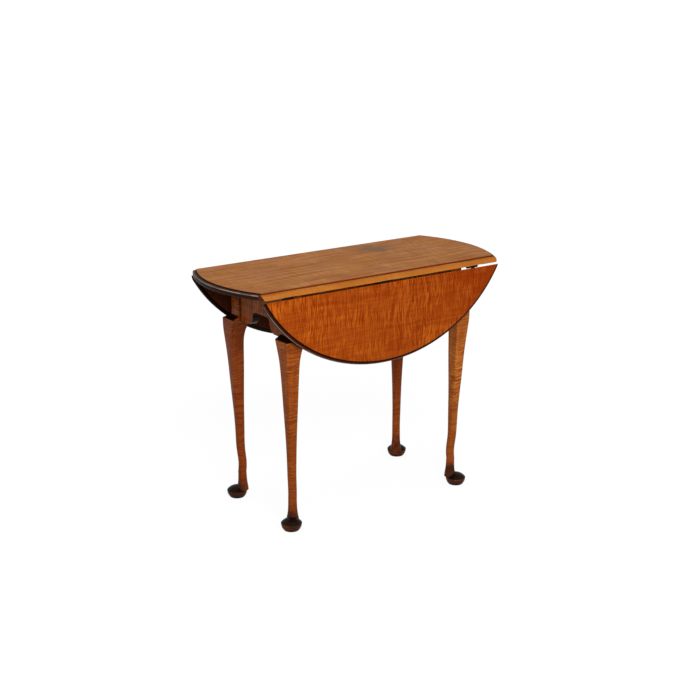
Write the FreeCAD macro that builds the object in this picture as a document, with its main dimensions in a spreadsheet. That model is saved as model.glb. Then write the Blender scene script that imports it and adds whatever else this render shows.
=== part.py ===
"""Drop-leaf end table with an oval top, rule joints, cabriole legs and pull-out leaf supports.

Millimetres, +Z up. The origin is on the floor under the middle of the top, with +X along the
length and the front leaf on the -Y side. The leaves hang down, as at rest.
"""
import FreeCAD
import Part
import Sketcher
import math
import os
import re

Vector = FreeCAD.Vector

# Every size that can be set by itself, in millimetres, with its name in the sheet.
SIZES = [
    # The top as a whole, with both leaves up, is one oval, hinged just outside the knees
    ("table_height", 660),
    ("top_length", 852),
    ("open_width", 760),
    ("board_thick", 16),
    ("leaf_room", 3),
    ("quirk_depth", 3),
    ("rule_gap", 0.4),
    ("edge_step", 2),
    ("edge_step_width", 9.5),
    ("edge_round", 8),
    ("under_round", 3),
    # Drop-leaf hinges, screwed to the undersides
    ("hinge_drop", 5),
    ("hinge_inset", 126),
    ("hinge_length", 35),
    ("plate_thick", 2),
    ("frame_plate_room", 1),
    ("leaf_plate_width", 44),
    ("pin_diameter", 4),
    ("pin_play", 0.05),
    ("pin_end", 1.2),
    ("knuckle_gap", 0.4),
    ("relief_depth", 0.6),
    ("hinge_screw_diameter", 3),
    ("hinge_screw_head", 1.4),
    ("hinge_screw_length", 12),
    # Legs
    ("frame_length", 564),
    ("frame_width", 284),
    ("post_width", 38),
    ("post_arris", 1),
    ("knee_width", 56),
    ("knee_height", 518),
    ("ledge_rise", 10),
    ("leg_sweep", 6),
    ("ankle_width", 23.2),
    ("ankle_height", 75),
    ("pad_width", 56),
    ("pad_rim_height", 20),
    ("pad_dome_rise", 13),
    ("pad_base_width", 40),
    ("pad_throw", 7.5),
    # Rails between the posts
    ("rail_setback", 6),
    ("rail_thick", 20),
    ("apron_depth", 128),
    ("arch_rise", 39),
    ("arch_half_width", 42),
    ("lobe_round", 24),
    ("arch_round", 14),
    ("side_rail_depth", 88),
    ("tenon_thick", 8),
    ("tenon_length", 16),
    ("tenon_top", 10),
    ("tenon_height", 70),
    # Corner blocks that brace the frame and hold the top
    ("corner_block_height", 35),
    ("corner_block_reach", 50),
    ("block_screw_diameter", 4),
    ("block_screw_head", 2),
    ("block_screw_length", 46),
    ("block_screw_inset", 12),
    # Pull-out leaf supports and their keepers
    ("slide_width", 30),
    ("slide_height", 22),
    ("slide_tail_room", 22),
    ("slide_play", 0.5),
    ("slide_nose_round", 6),
    ("slide_block_gap", 9),
    ("slide_gap", 30),
    ("finger_groove_radius", 9),
    ("finger_groove_inset", 24),
    ("finger_groove_depth", 6),
    ("keeper_length", 16),
    ("keeper_flange", 11),
    ("keeper_floor", 8),
    ("slide_draw", 120),
    ("stop_peg_diameter", 8),
    ("stop_peg_drop", 10),
    ("stop_peg_inset", 12),
    ("keeper_screw_length", 26),
    ("keeper_screw_seat", 13.2),
    # How far every cutting shape runs past what it cuts
    ("overrun", 5),
]
ALIASES = {name for name, _ in SIZES}

# Heights and places that follow from the sizes above.
UNDERSIDE = "(table_height - board_thick)"
AXIS_HEIGHT = f"({UNDERSIDE} - hinge_drop)"
JOINT_LINE = "(frame_width / 2 + knee_width - post_width + leaf_room)"
LIP_RADIUS = "(board_thick + hinge_drop)"
RULE_RADIUS = f"({LIP_RADIUS} - quirk_depth)"
COVE_RADIUS = f"({RULE_RADIUS} + rule_gap)"
RULE_FOOT = f"sqrt({RULE_RADIUS} ^ 2 - hinge_drop ^ 2)"
POST_X = "(frame_length / 2 - post_width)"
POST_Y = "(frame_width / 2 - post_width)"
RAIL_OUT_X = "(frame_length / 2 - rail_setback)"
RAIL_OUT_Y = "(frame_width / 2 - rail_setback)"
RAIL_IN_X = f"({RAIL_OUT_X} - rail_thick)"
RAIL_IN_Y = f"({RAIL_OUT_Y} - rail_thick)"
APRON_LOW = f"({UNDERSIDE} - apron_depth)"
RAIL_LOW = f"({UNDERSIDE} - side_rail_depth)"
TENON_LOW = f"({UNDERSIDE} - tenon_top - tenon_height)"
NOTCH_HEIGHT = "(slide_height + slide_play)"
SCREW_RADIUS = "(hinge_screw_diameter / 2)"
BLOCK_SCREW_RADIUS = "(block_screw_diameter / 2)"
HINGE_PLACE = "(top_length / 2 - hinge_inset)"
FRAME_PLATE_WIDTH = f"({JOINT_LINE} - frame_width / 2 - frame_plate_room)"
OUTER_SLIDE = f"({POST_X} - corner_block_reach - slide_block_gap - slide_width / 2)"
INNER_SLIDE = f"({OUTER_SLIDE} - slide_width - slide_gap)"
SLIDE_LENGTH = f"({RAIL_OUT_Y} + {RAIL_IN_Y} - slide_tail_room)"
PEG_AT_REST = f"({SLIDE_LENGTH} - {RAIL_OUT_Y} - stop_peg_inset)"
KEEPER_INNER = f"({PEG_AT_REST} - slide_draw - stop_peg_diameter / 2)"
KEEPER_HALF = "(slide_width / 2 + slide_play + keeper_flange)"

# The leg between ankle and knee. Each row gives shares: of the height, of the growth in width,
# of the sweep outward, and how far the square section has turned into a round one.
LEG_SHARES = [
    (0.0, 0.0, -0.62, 1.0),
    (0.142, 0.003, -0.38, 0.93),
    (0.282, 0.03, -0.15, 0.77),
    (0.436, 0.115, 0.10, 0.60),
    (0.576, 0.225, 0.35, 0.40),
    (0.702, 0.32, 0.53, 0.27),
    (0.817, 0.43, 0.82, 0.19),
    (0.883, 0.52, 0.95, 0.10),
    (0.937, 0.71, 0.73, 0.07),
    (0.977, 0.90, 0.28, 0.06),
    (1.0, 1.0, 0.0, 0.05),
]
# The ankle below its narrowest point, down into the foot. Each row gives shares: of the ankle's
# height, of the growth in width, and of the way from the ankle's middle to the foot's middle.
HEEL_SHARES = [
    (1.0, 0.0, 0.0),
    (0.8, 0.02, -0.03),
    (0.61, 0.08, -0.04),
    (0.45, 0.19, -0.04),
    (0.29, 0.36, 0.06),
]
# How much of its half width a square gives up at the corner when it becomes a circle.
ROUND_SHARE = 1 - math.sqrt(0.5)
# Rows of hinge screws: shares of the plate width, out from the axis.
ONE_ROW_SHARE = 0.62
NEAR_ROW_SHARE = 0.5
FAR_ROW_SHARE = 0.84
# Two measures are the same where they differ by less than this share of the board.
SAME_SHARE = 0.001
QUARTER_TURN = 90.0
HALF_TURN = 180.0

doc = FreeCAD.newDocument("DropLeafTable")
sheet = doc.addObject("Spreadsheet::Sheet", "Sizes")
for row, (name, size) in enumerate(SIZES, start=1):
    sheet.set(f"A{row}", name)
    sheet.set(f"B{row}", str(size))
    sheet.setAlias(f"B{row}", name)
doc.recompute()

pieces = []


def bound(words):
    """The same expression with each size pointing into the sheet."""
    return re.sub(r"[a-z_]+", lambda m: f"Sizes.{m.group()}" if m.group() in ALIASES else m.group(), words)


def value(words):
    """What an expression of named sizes comes to, in millimetres."""
    return float(sheet.evalExpression(bound(words)))


def tie(thing, **sizes):
    """Bind properties of an object to expressions of named sizes."""
    for prop, words in sizes.items():
        thing.setExpression(prop, bound(words))


def tie_place(thing, x, y, z):
    """Bind the place of a piece and keep its rotation."""
    for axis, words in zip("xyz", (x, y, z)):
        thing.setExpression(f"Placement.Base.{axis}", bound(words))


def set_down(piece, x="0", y="0", z="0", turn=0.0, tip=0.0):
    """Stand a piece in the table: tipped about X first, then turned about Z, then moved."""
    spin = FreeCAD.Rotation(Vector(0, 0, 1), turn).multiply(FreeCAD.Rotation(Vector(1, 0, 0), tip))
    piece.Placement = FreeCAD.Placement(Vector(value(x), value(y), value(z)), spin)
    tie_place(piece, x, y, z)


def new_body(label):
    """An empty body that becomes one sub-part."""
    body = doc.addObject("PartDesign::Body", label)
    body.Label = label
    pieces.append(body)
    return body


def plane_of(body, role):
    """One of the origin planes or axes of a body."""
    return next(part for part in body.Origin.OriginFeatures if part.Role == role)


def new_sketch(body, name, role, x="0", y="0", z="0"):
    """A sketch on an origin plane of the body, moved by x, y and z in the plane's own frame."""
    sketch = body.newObject("Sketcher::SketchObject", name)
    sketch.AttachmentSupport = [(plane_of(body, role), "")]
    sketch.MapMode = "FlatFace"
    for axis, words in zip("xyz", (x, y, z)):
        if words != "0":
            sketch.setExpression(f"AttachmentOffset.Base.{axis}", bound(words))
    return sketch


def hold_point(sketch, geo, end, x, y):
    """Fix a point of the sketch at the place x, y."""
    for kind, words in (("DistanceX", x), ("DistanceY", y)):
        number = sketch.addConstraint(Sketcher.Constraint(kind, -1, 1, geo, end, value(words)))
        sketch.setExpression(f"Constraints[{number}]", bound(words))


def line_to(x, y):
    """A straight step of an outline."""
    return ("line", x, y, None, None, None)


def arc_to(x, y, mid_x, mid_y, left=True):
    """A curved step of an outline about a centre, turning left or right on the way."""
    return ("arc", x, y, mid_x, mid_y, left)


def draw(sketch, start, steps):
    """Draw a closed outline: a start point and its straight and curved steps back to it."""
    here = start
    ends = []
    for kind, x, y, mid_x, mid_y, left in steps:
        a = Vector(value(here[0]), value(here[1]), 0)
        b = Vector(value(x), value(y), 0)
        if kind == "line":
            geo = sketch.addGeometry(Part.LineSegment(a, b))
            first, last = 1, 2
        else:
            middle = Vector(value(mid_x), value(mid_y), 0)
            radius = (a - middle).Length
            go, stop = (a, b) if left else (b, a)
            begin = math.atan2(go.y - middle.y, go.x - middle.x)
            finish = math.atan2(stop.y - middle.y, stop.x - middle.x)
            if finish <= begin:
                finish += math.tau
            circle = Part.Circle(middle, Vector(0, 0, 1), radius)
            geo = sketch.addGeometry(Part.ArcOfCircle(circle, begin, finish))
            first, last = (1, 2) if left else (2, 1)
            across = abs(b.x - a.x) > abs(b.y - a.y)
            rule, words = ("DistanceY", mid_y) if across else ("DistanceX", mid_x)
            number = sketch.addConstraint(Sketcher.Constraint(rule, -1, 1, geo, 3, value(words)))
            sketch.setExpression(f"Constraints[{number}]", bound(words))
        ends.append((geo, first, last))
        hold_point(sketch, geo, first, here[0], here[1])
        here = (x, y)
    for (geo, _, last), (after, first, _) in zip(ends, ends[1:] + ends[:1]):
        sketch.addConstraint(Sketcher.Constraint("Coincident", geo, last, after, first))


def draw_polygon(sketch, *points):
    """Draw a closed outline of straight sides."""
    draw(sketch, points[0], [line_to(x, y) for x, y in points[1:] + points[:1]])


def draw_circle(sketch, x, y, radius):
    """Draw a circle about the place x, y."""
    middle = Vector(value(x), value(y), 0)
    geo = sketch.addGeometry(Part.Circle(middle, Vector(0, 0, 1), value(radius)))
    hold_point(sketch, geo, 3, x, y)
    number = sketch.addConstraint(Sketcher.Constraint("Radius", geo, value(radius)))
    sketch.setExpression(f"Constraints[{number}]", bound(radius))


def draw_oval(sketch, y, inset):
    """Draw the oval of the open top, drawn in by an inset, with its middle at 0, y."""
    length = f"(top_length - 2 * ({inset}))"
    width = f"(open_width - 2 * ({inset}))"
    middle = Vector(0, value(y), 0)
    end = middle + Vector(value(length) / 2, 0, 0)
    side = middle + Vector(0, value(width) / 2, 0)
    # An ellipse is drawn from its longer axis
    if value(length) >= value(width):
        curve, lie, axes = Part.Ellipse(end, side, middle), "Horizontal", (length, width)
    else:
        curve, lie, axes = Part.Ellipse(side, end, middle), "Vertical", (width, length)
    geo = sketch.addGeometry(curve)
    sketch.exposeInternalGeometry(geo)
    hold_point(sketch, geo, 3, "0", y)
    sketch.addConstraint(Sketcher.Constraint(lie, geo + 1))
    for line, words in enumerate(axes, start=geo + 1):
        number = sketch.addConstraint(Sketcher.Constraint("Distance", line, value(words)))
        sketch.setExpression(f"Constraints[{number}]", bound(words))


def draw_soft_square(sketch, half, roundness):
    """Draw a square with bulging sides: a share of 0 leaves it square, 1 makes it a circle."""
    corner = f"({half} * {1 - ROUND_SHARE * roundness:.6f})"
    bulge = f"(({half}) - {corner})"
    radius = f"(({bulge} ^ 2 + {corner} ^ 2) / (2 * {bulge}))"
    near = f"(({half}) - {radius})"
    far = f"({radius} - ({half}))"
    low = f"(-{corner})"
    sides = [
        arc_to(corner, corner, near, "0"),
        arc_to(low, corner, "0", near),
        arc_to(low, low, far, "0"),
        arc_to(corner, low, "0", far),
    ]
    draw(sketch, (corner, low), sides)


def pad(body, sketch, length, both_ways=False):
    """Raise a sketch into a solid."""
    feature = body.newObject("PartDesign::Pad", f"{body.Name}_pad")
    feature.Profile = sketch
    feature.SideType = "Symmetric" if both_ways else "One side"
    tie(feature, Length=length)
    return feature


def pocket(body, sketch, length, upward=False, both_ways=False):
    """Cut a sketch out of the solid, downward from its plane unless told otherwise."""
    feature = body.newObject("PartDesign::Pocket", f"{body.Name}_pocket")
    feature.Profile = sketch
    feature.SideType = "Symmetric" if both_ways else "One side"
    feature.Reversed = upward
    tie(feature, Length=length)
    return feature


def loft(body, sections, ruled=False):
    """Join a row of sections into a solid skin."""
    feature = body.newObject("PartDesign::AdditiveLoft", f"{body.Name}_loft")
    feature.Profile = sections[0]
    feature.Sections = sections[1:]
    feature.Ruled = ruled
    return feature


def block(body, low, size, cut=False):
    """Add or cut a box, from its lowest corner and its three sizes."""
    kind = "PartDesign::SubtractiveBox" if cut else "PartDesign::AdditiveBox"
    feature = body.newObject(kind, f"{body.Name}_box")
    tie(feature, Length=size[0], Width=size[1], Height=size[2])
    for axis, words in zip("xyz", low):
        feature.setExpression(f"Placement.Base.{axis}", bound(words))
    return feature


def dress_edges(body, kind, size, wanted):
    """Round or chamfer the edges of the body's last feature that the test picks."""
    doc.recompute()
    last = body.Tip
    names = [f"Edge{n}" for n, edge in enumerate(last.Shape.Edges, start=1) if wanted(edge)]
    feature = body.newObject(f"PartDesign::{kind}", f"{body.Name}_{kind.lower()}")
    feature.Base = (last, names)
    tie(feature, **{"Radius" if kind == "Fillet" else "Size": size})
    return feature


def is_near(number, words):
    """Whether a measured number is a size of the sheet, to a small share of the board."""
    return abs(number - value(words)) < value("board_thick") * SAME_SHARE


def oval_blank(body, y, low):
    """The sawn oval with its moulded edge: a step, a quarter round and an eased underside."""
    outline = new_sketch(body, f"{body.Name}_oval", "XY_Plane", z=low)
    draw_oval(outline, y, "0")
    pad(body, outline, "board_thick")
    step = new_sketch(body, f"{body.Name}_step", "XY_Plane", z=f"{low} + board_thick")
    draw_oval(step, y, "0 - overrun")
    draw_oval(step, y, "edge_step_width")
    pocket(body, step, "edge_step")
    rim = f"{low} + board_thick - edge_step"

    def on_rim(edge, height):
        box = edge.BoundBox
        flat = is_near(box.ZMin, height) and is_near(box.ZMax, height)
        return flat and is_near(box.XMax, "top_length / 2")

    dress_edges(body, "Fillet", "edge_round", lambda edge: on_rim(edge, rim))
    dress_edges(body, "Fillet", "under_round", lambda edge: on_rim(edge, low))


def hinge_places():
    """The three places along the joint where each leaf is hinged."""
    return [f"(0 - {HINGE_PLACE})", "0", HINGE_PLACE]


def slide_places():
    """Where the two supports of the front leaf run. Those of the rear leaf run half a turn away."""
    return {"left": f"(0 - {OUTER_SLIDE})", "right": INNER_SLIDE}


def screw_places(width, count_across):
    """Screw centres on a hinge plate, measured along the hinge and out from its axis."""
    along = "(hinge_length / 3)"
    if count_across == 1:
        only = f"({width} * {ONE_ROW_SHARE})"
        return [(f"(0 - {along})", only), (along, only)]
    near = f"({width} * {NEAR_ROW_SHARE})"
    far = f"({width} * {FAR_ROW_SHARE})"
    return [(f"(0 - {along})", near), (along, near), ("0", far)]


def make_top_board():
    """The fixed centre board, with the rounded half of the rule joint along both sides."""
    body = new_body("top_board")
    oval_blank(body, "0", "0")
    edge = new_sketch(body, "top_board_rule", "YZ_Plane")
    outside = "(open_width / 2 + overrun)"
    above = "(board_thick + overrun)"
    below = "(0 - overrun)"
    foot = f"({JOINT_LINE} + {RULE_FOOT})"
    steps = [
        line_to(JOINT_LINE, "(board_thick - quirk_depth)"),
        arc_to(foot, "0", JOINT_LINE, "(0 - hinge_drop)", left=False),
        line_to(foot, below),
        line_to(outside, below),
        line_to(outside, above),
        line_to(JOINT_LINE, above),
    ]
    draw(edge, (JOINT_LINE, above), steps)
    rule = pocket(body, edge, "top_length + 2 * overrun", both_ways=True)
    other = body.newObject("PartDesign::Mirrored", "top_board_rule_rear")
    other.Originals = [rule]
    other.MirrorPlane = (plane_of(body, "XZ_Plane"), [""])
    body.Tip = other
    # Shallow reliefs let the hinge knuckles and the leaf plates swing under the edge
    for side in (-1, 1):
        for x in hinge_places():
            start = f"({JOINT_LINE} - hinge_drop - knuckle_gap)"
            length = f"(hinge_drop + knuckle_gap + {RULE_FOOT} + overrun)"
            low_y = start if side > 0 else f"(0 - {start} - {length})"
            low_x = f"({x} - hinge_length / 2 - pin_end - knuckle_gap)"
            across = "(hinge_length + 2 * (pin_end + knuckle_gap))"
            size = (across, length, "(overrun + relief_depth)")
            block(body, (low_x, low_y, "(0 - overrun)"), size, cut=True)
    pilot = new_sketch(body, "top_board_hinge_pilots", "XY_Plane")
    for side in (-1, 1):
        for x in hinge_places():
            for along, out in screw_places(FRAME_PLATE_WIDTH, 1):
                back = f"({side} * ({JOINT_LINE} - {out}))"
                draw_circle(pilot, f"({x} + {along})", back, SCREW_RADIUS)
    pocket(body, pilot, "(hinge_screw_length - plate_thick)", upward=True)
    deep = new_sketch(body, "top_board_block_pilots", "XY_Plane")
    for x, y in corner_screw_places():
        draw_circle(deep, x, y, BLOCK_SCREW_RADIUS)
    pocket(body, deep, "(block_screw_length - corner_block_height)", upward=True)
    short = new_sketch(body, "top_board_keeper_pilots", "XY_Plane")
    for x, y in keeper_screw_places():
        draw_circle(short, x, y, SCREW_RADIUS)
    pocket(body, short, f"(keeper_screw_length - keeper_screw_seat)", upward=True)
    set_down(body, z=UNDERSIDE)


def leaf_place(piece, side, x="0"):
    """Hang a piece that was modelled flat, with the hinge axis as its X axis, from that axis."""
    turn = 0.0 if side > 0 else HALF_TURN
    set_down(piece, x=x, y=f"({side} * {JOINT_LINE})", z=AXIS_HEIGHT, turn=turn, tip=-QUARTER_TURN)


def make_leaf(label, side):
    """A leaf with the hollowed half of the rule joint, modelled flat about its hinge axis."""
    body = new_body(label)
    oval_blank(body, f"(0 - {JOINT_LINE})", "hinge_drop")
    edge = new_sketch(body, f"{label}_rule", "YZ_Plane")
    inside = "(0 - open_width - overrun)"
    above = f"({LIP_RADIUS} + overrun)"
    below = "(hinge_drop - overrun)"
    top = f"sqrt({COVE_RADIUS} ^ 2 - rule_gap ^ 2)"
    foot = f"sqrt({COVE_RADIUS} ^ 2 - hinge_drop ^ 2)"
    steps = [
        line_to("rule_gap", top),
        arc_to(foot, "hinge_drop", "0", "0", left=False),
        line_to(foot, below),
        line_to(inside, below),
        line_to(inside, above),
        line_to("rule_gap", above),
    ]
    draw(edge, ("rule_gap", above), steps)
    pocket(body, edge, "top_length + 2 * overrun", both_ways=True)
    pilot = new_sketch(body, f"{label}_pilots", "XY_Plane", z="hinge_drop")
    for x in hinge_places():
        for along, out in screw_places("leaf_plate_width", 2):
            draw_circle(pilot, f"({x} + {along})", out, SCREW_RADIUS)
    pocket(body, pilot, "(hinge_screw_length - plate_thick)", upward=True)
    leaf_place(body, side)


def make_hinge_plate(label, width, knuckles_outside, count_across, away):
    """Half a hinge: a plate rolled round its pin, countersunk, with its knuckles cut apart.

    The pin lies on X and the plate runs to the away side of it, flush with the barrel's top.
    """
    body = new_body(label)
    under = "(hinge_drop - plate_thick)"
    dip = f"sqrt(hinge_drop ^ 2 - {under} ^ 2)"
    profile = new_sketch(body, f"{label}_profile", "YZ_Plane")
    steps = [
        line_to(f"({away} * {width})", "hinge_drop"),
        line_to(f"({away} * {width})", under),
        line_to(f"({away} * {dip})", under),
        arc_to("0", "hinge_drop", "0", "0", left=away < 0),
    ]
    draw(profile, ("0", "hinge_drop"), steps)
    draw_circle(profile, "0", "0", "(pin_diameter / 2 + pin_play)")
    pad(body, profile, "hinge_length", both_ways=True)
    third = "(hinge_length / 3)"
    depth = "(hinge_drop + knuckle_gap)"
    low_y = f"(0 - {depth})"
    tall = f"(2 * {depth})"
    if knuckles_outside:
        low_x = f"(0 - {third} / 2 - knuckle_gap / 2)"
        block(body, (low_x, low_y, low_y), (f"({third} + knuckle_gap)", tall, tall), cut=True)
    else:
        size = (f"({third} + overrun)", tall, tall)
        near_end = "(0 - hinge_length / 2 - overrun - knuckle_gap / 2)"
        far_end = f"({third} / 2 - knuckle_gap / 2)"
        for low_x in (near_end, far_end):
            block(body, (low_x, low_y, low_y), size, cut=True)
    holes = new_sketch(body, f"{label}_holes", "XY_Plane", z=under)
    for along, out in screw_places(width, count_across):
        draw_circle(holes, along, f"({away} * {out})", SCREW_RADIUS)
    pocket(body, holes, "plate_thick", upward=True)

    def at_face(edge):
        box = edge.BoundBox
        flat = is_near(box.ZMin, under) and is_near(box.ZMax, under)
        return flat and is_near(box.XLength, "hinge_screw_diameter")

    dress_edges(body, "Chamfer", "hinge_screw_head", at_face)
    return body


def make_pin(label):
    """The pin through the knuckles, along X."""
    pin = doc.addObject("Part::Cylinder", label)
    pin.Label = label
    tie(pin, Radius="(pin_diameter / 2)", Height="(hinge_length + 2 * pin_end)")
    pieces.append(pin)
    return pin


def make_screw(name, radius, head, length):
    """A countersunk screw that points up +Z, with the flat of its head at the origin."""
    cone = doc.addObject("Part::Cone", f"{name}_head")
    tie(cone, Radius1=f"({radius} + {head})", Radius2=radius, Height=head)
    shank = doc.addObject("Part::Cylinder", f"{name}_shank")
    tie(shank, Radius=radius, Height=length)
    screw = doc.addObject("Part::Fuse", name)
    screw.Base = cone
    screw.Tool = shank
    return screw


def make_hinge_screw(name):
    """One of the screws that hold the hinge plates."""
    return make_screw(name, SCREW_RADIUS, "hinge_screw_head", "hinge_screw_length")


def group(label, members):
    """Several separate solids of one kind, kept together as one sub-part."""
    whole = doc.addObject("Part::Compound", label)
    whole.Label = label
    whole.Links = members
    pieces.append(whole)
    return whole


def make_hinges():
    """Three hinges for each leaf: frame plates, leaf plates, pins and their screws."""
    names = ("left", "middle", "right")
    frame_screws = []
    for end, side in (("front", -1), ("rear", 1)):
        leaf_screws = []
        for name, x in zip(names, hinge_places()):
            turn = 0.0 if side > 0 else HALF_TURN
            label = f"hinge_frame_plate_{end}_{name}"
            fixed = make_hinge_plate(label, FRAME_PLATE_WIDTH, True, 1, -1)
            set_down(fixed, x=x, y=f"({side} * {JOINT_LINE})", z=AXIS_HEIGHT, turn=turn)
            label = f"hinge_leaf_plate_{end}_{name}"
            swung = make_hinge_plate(label, "leaf_plate_width", False, 2, 1)
            leaf_place(swung, side, x=x)
            pin = make_pin(f"hinge_pin_{end}_{name}")
            pin.Placement.Rotation = FreeCAD.Rotation(Vector(0, 1, 0), QUARTER_TURN)
            pin_start = f"({x} - hinge_length / 2 - pin_end)"
            tie_place(pin, pin_start, f"({side} * {JOINT_LINE})", AXIS_HEIGHT)
            for n, (along, out) in enumerate(screw_places(FRAME_PLATE_WIDTH, 1)):
                screw = make_hinge_screw(f"frame_screw_{end}_{name}_{n}")
                back = f"({side} * ({JOINT_LINE} - {out}))"
                tie_place(screw, f"({x} + {along})", back, f"({UNDERSIDE} - plate_thick)")
                frame_screws.append(screw)
            for n, (along, out) in enumerate(screw_places("leaf_plate_width", 2)):
                screw = make_hinge_screw(f"leaf_screw_{end}_{name}_{n}")
                screw.Placement.Rotation = FreeCAD.Rotation(Vector(1, 0, 0), -QUARTER_TURN * side)
                face = f"({side} * ({JOINT_LINE} + hinge_drop - plate_thick))"
                tie_place(screw, f"({x} + {side} * {along})", face, f"({AXIS_HEIGHT} - {out})")
                leaf_screws.append(screw)
        group(f"hinge_screws_leaf_{end}", leaf_screws)
    group("hinge_screws_frame", frame_screws)


def make_leg(label, side_x, side_y, turn):
    """A cabriole leg in one piece: square post, ledged knee, round ankle and offset pad foot.

    Its own origin is on the floor under the middle of the foot, and +X and +Y point outward.
    """
    body = new_body(label)
    rise = "(knee_height - ankle_height)"
    sections = []
    for height_share, width_share, sweep_share, round_share in LEG_SHARES:
        place = f"({sweep_share} * leg_sweep - pad_throw)"
        level = f"(ankle_height + {height_share} * {rise})"
        half = f"((ankle_width + {width_share} * (knee_width - ankle_width)) / 2)"
        section = new_sketch(body, f"{label}_level", "XY_Plane", place, place, level)
        draw_soft_square(section, half, round_share)
        sections.append(section)
    loft(body, sections)

    corner = "(0 - pad_throw - knee_width / 2)"
    outer = f"({corner} + post_width)"
    shoulder = "(knee_height + ledge_rise)"
    post = new_sketch(body, f"{label}_post", "XY_Plane", z=shoulder)
    draw_polygon(post, (outer, corner), (outer, outer), (corner, outer), (corner, corner))
    loft(body, [sections[-1], post], ruled=True)
    pad(body, post, f"({UNDERSIDE} - {shoulder})")

    heel = []
    ankle_place = f"({LEG_SHARES[0][2]} * leg_sweep - pad_throw)"
    for height_share, width_share, place_share in HEEL_SHARES:
        place = f"({1 - place_share:.2f} * {ankle_place})"
        level = f"({height_share} * ankle_height)"
        half = f"((ankle_width + {width_share} * (pad_width - ankle_width)) / 2)"
        section = new_sketch(body, f"{label}_heel", "XY_Plane", place, place, level)
        draw_soft_square(section, half, 1.0)
        heel.append(section)
    loft(body, heel)

    # The foot is turned about its own middle: a flared base, a crisp rim and a low dome
    flare = "((pad_width - pad_base_width) / 2)"
    curve = f"(({flare} ^ 2 + pad_rim_height ^ 2) / (2 * {flare}))"
    dome = "((pad_width ^ 2 / 4 + pad_dome_rise ^ 2) / (2 * pad_dome_rise))"
    crown = "(pad_rim_height + pad_dome_rise)"
    base = new_sketch(body, f"{label}_base", "XZ_Plane")
    steps = [
        line_to("(pad_base_width / 2)", "0"),
        arc_to("(pad_width / 2)", "pad_rim_height", f"(pad_width / 2 - {curve})", "pad_rim_height"),
        arc_to("0", crown, "0", f"({crown} - {dome})"),
        line_to("0", "0"),
    ]
    draw(base, ("0", "0"), steps)
    turned = body.newObject("PartDesign::Revolution", f"{label}_pad_base")
    turned.Profile = base
    turned.ReferenceAxis = (base, ["V_Axis"])

    # One mortise in each inner face of the post
    wall = f"({outer} - rail_setback - rail_thick / 2 - tenon_thick / 2)"
    deep = "(tenon_length + overrun)"
    start = f"({corner} - overrun)"
    low = TENON_LOW
    block(body, (start, wall, low), (deep, "tenon_thick", "tenon_height"), cut=True)
    block(body, (wall, start, low), ("tenon_thick", deep, "tenon_height"), cut=True)

    def on_post(edge):
        box = edge.BoundBox
        return is_near(box.ZMin, shoulder) and is_near(box.ZMax, UNDERSIDE)

    dress_edges(body, "Chamfer", "post_arris", on_post)
    x = f"({side_x} * (frame_length / 2 - post_width + knee_width / 2 + pad_throw))"
    y = f"({side_y} * (frame_width / 2 - post_width + knee_width / 2 + pad_throw))"
    set_down(body, x=x, y=y, turn=turn)


def make_end_apron(label, turn):
    """The shaped apron at an end, with a lobed arch below and a tenon into each post."""
    body = new_body(label)
    face = new_sketch(body, f"{label}_face", "YZ_Plane", z=RAIL_IN_X)
    arch_top = f"({APRON_LOW} + arch_rise)"
    waist = f"({APRON_LOW} + lobe_round)"
    lobe = "(arch_half_width + lobe_round)"
    crown = "(arch_half_width - arch_round)"
    bend = f"({arch_top} - arch_round)"
    steps = [
        line_to(f"(0 - {lobe})", APRON_LOW),
        arc_to("(0 - arch_half_width)", waist, f"(0 - {lobe})", waist),
        line_to("(0 - arch_half_width)", bend),
        arc_to(f"(0 - {crown})", arch_top, f"(0 - {crown})", bend, left=False),
        line_to(crown, arch_top),
        arc_to("arch_half_width", bend, crown, bend, left=False),
        line_to("arch_half_width", waist),
        arc_to(lobe, APRON_LOW, lobe, waist),
        line_to(POST_Y, APRON_LOW),
        line_to(POST_Y, UNDERSIDE),
        line_to(f"(0 - {POST_Y})", UNDERSIDE),
        line_to(f"(0 - {POST_Y})", APRON_LOW),
    ]
    draw(face, (f"(0 - {POST_Y})", APRON_LOW), steps)
    pad(body, face, "rail_thick")
    tenon_x = f"({RAIL_IN_X} + (rail_thick - tenon_thick) / 2)"
    size = ("tenon_thick", "tenon_length", "tenon_height")
    block(body, (tenon_x, POST_Y, TENON_LOW), size)
    block(body, (tenon_x, f"(0 - {POST_Y} - tenon_length)", TENON_LOW), size)
    set_down(body, turn=turn)


def make_side_rail(label, turn):
    """A long rail behind a leaf, notched at the top for the two supports it guides."""
    body = new_body(label)
    block(body, (f"(0 - {POST_X})", f"(0 - {RAIL_OUT_Y})", RAIL_LOW),
          (f"(2 * {POST_X})", "rail_thick", "side_rail_depth"))
    tenon_y = f"(0 - {RAIL_OUT_Y} + (rail_thick - tenon_thick) / 2)"
    size = ("tenon_length", "tenon_thick", "tenon_height")
    block(body, (POST_X, tenon_y, TENON_LOW), size)
    block(body, (f"(0 - {POST_X} - tenon_length)", tenon_y, TENON_LOW), size)
    for x in slide_places().values():
        low_x = f"({x} - slide_width / 2 - slide_play)"
        low_z = f"({UNDERSIDE} - {NOTCH_HEIGHT} - slide_play)"
        block(body, (low_x, f"(0 - {RAIL_OUT_Y} - overrun)", low_z),
              ("(slide_width + 2 * slide_play)", "(rail_thick + 2 * overrun)",
               f"({NOTCH_HEIGHT} + slide_play + overrun)"), cut=True)
    set_down(body, turn=turn)


def corner_screw_places():
    """Where the screws of the four corner blocks go up into the board."""
    x = f"({POST_X} - block_screw_inset)"
    y = f"({POST_Y} - block_screw_inset)"
    return [(f"({i} * {x})", f"({j} * {y})") for i in (-1, 1) for j in (-1, 1)]


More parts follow.
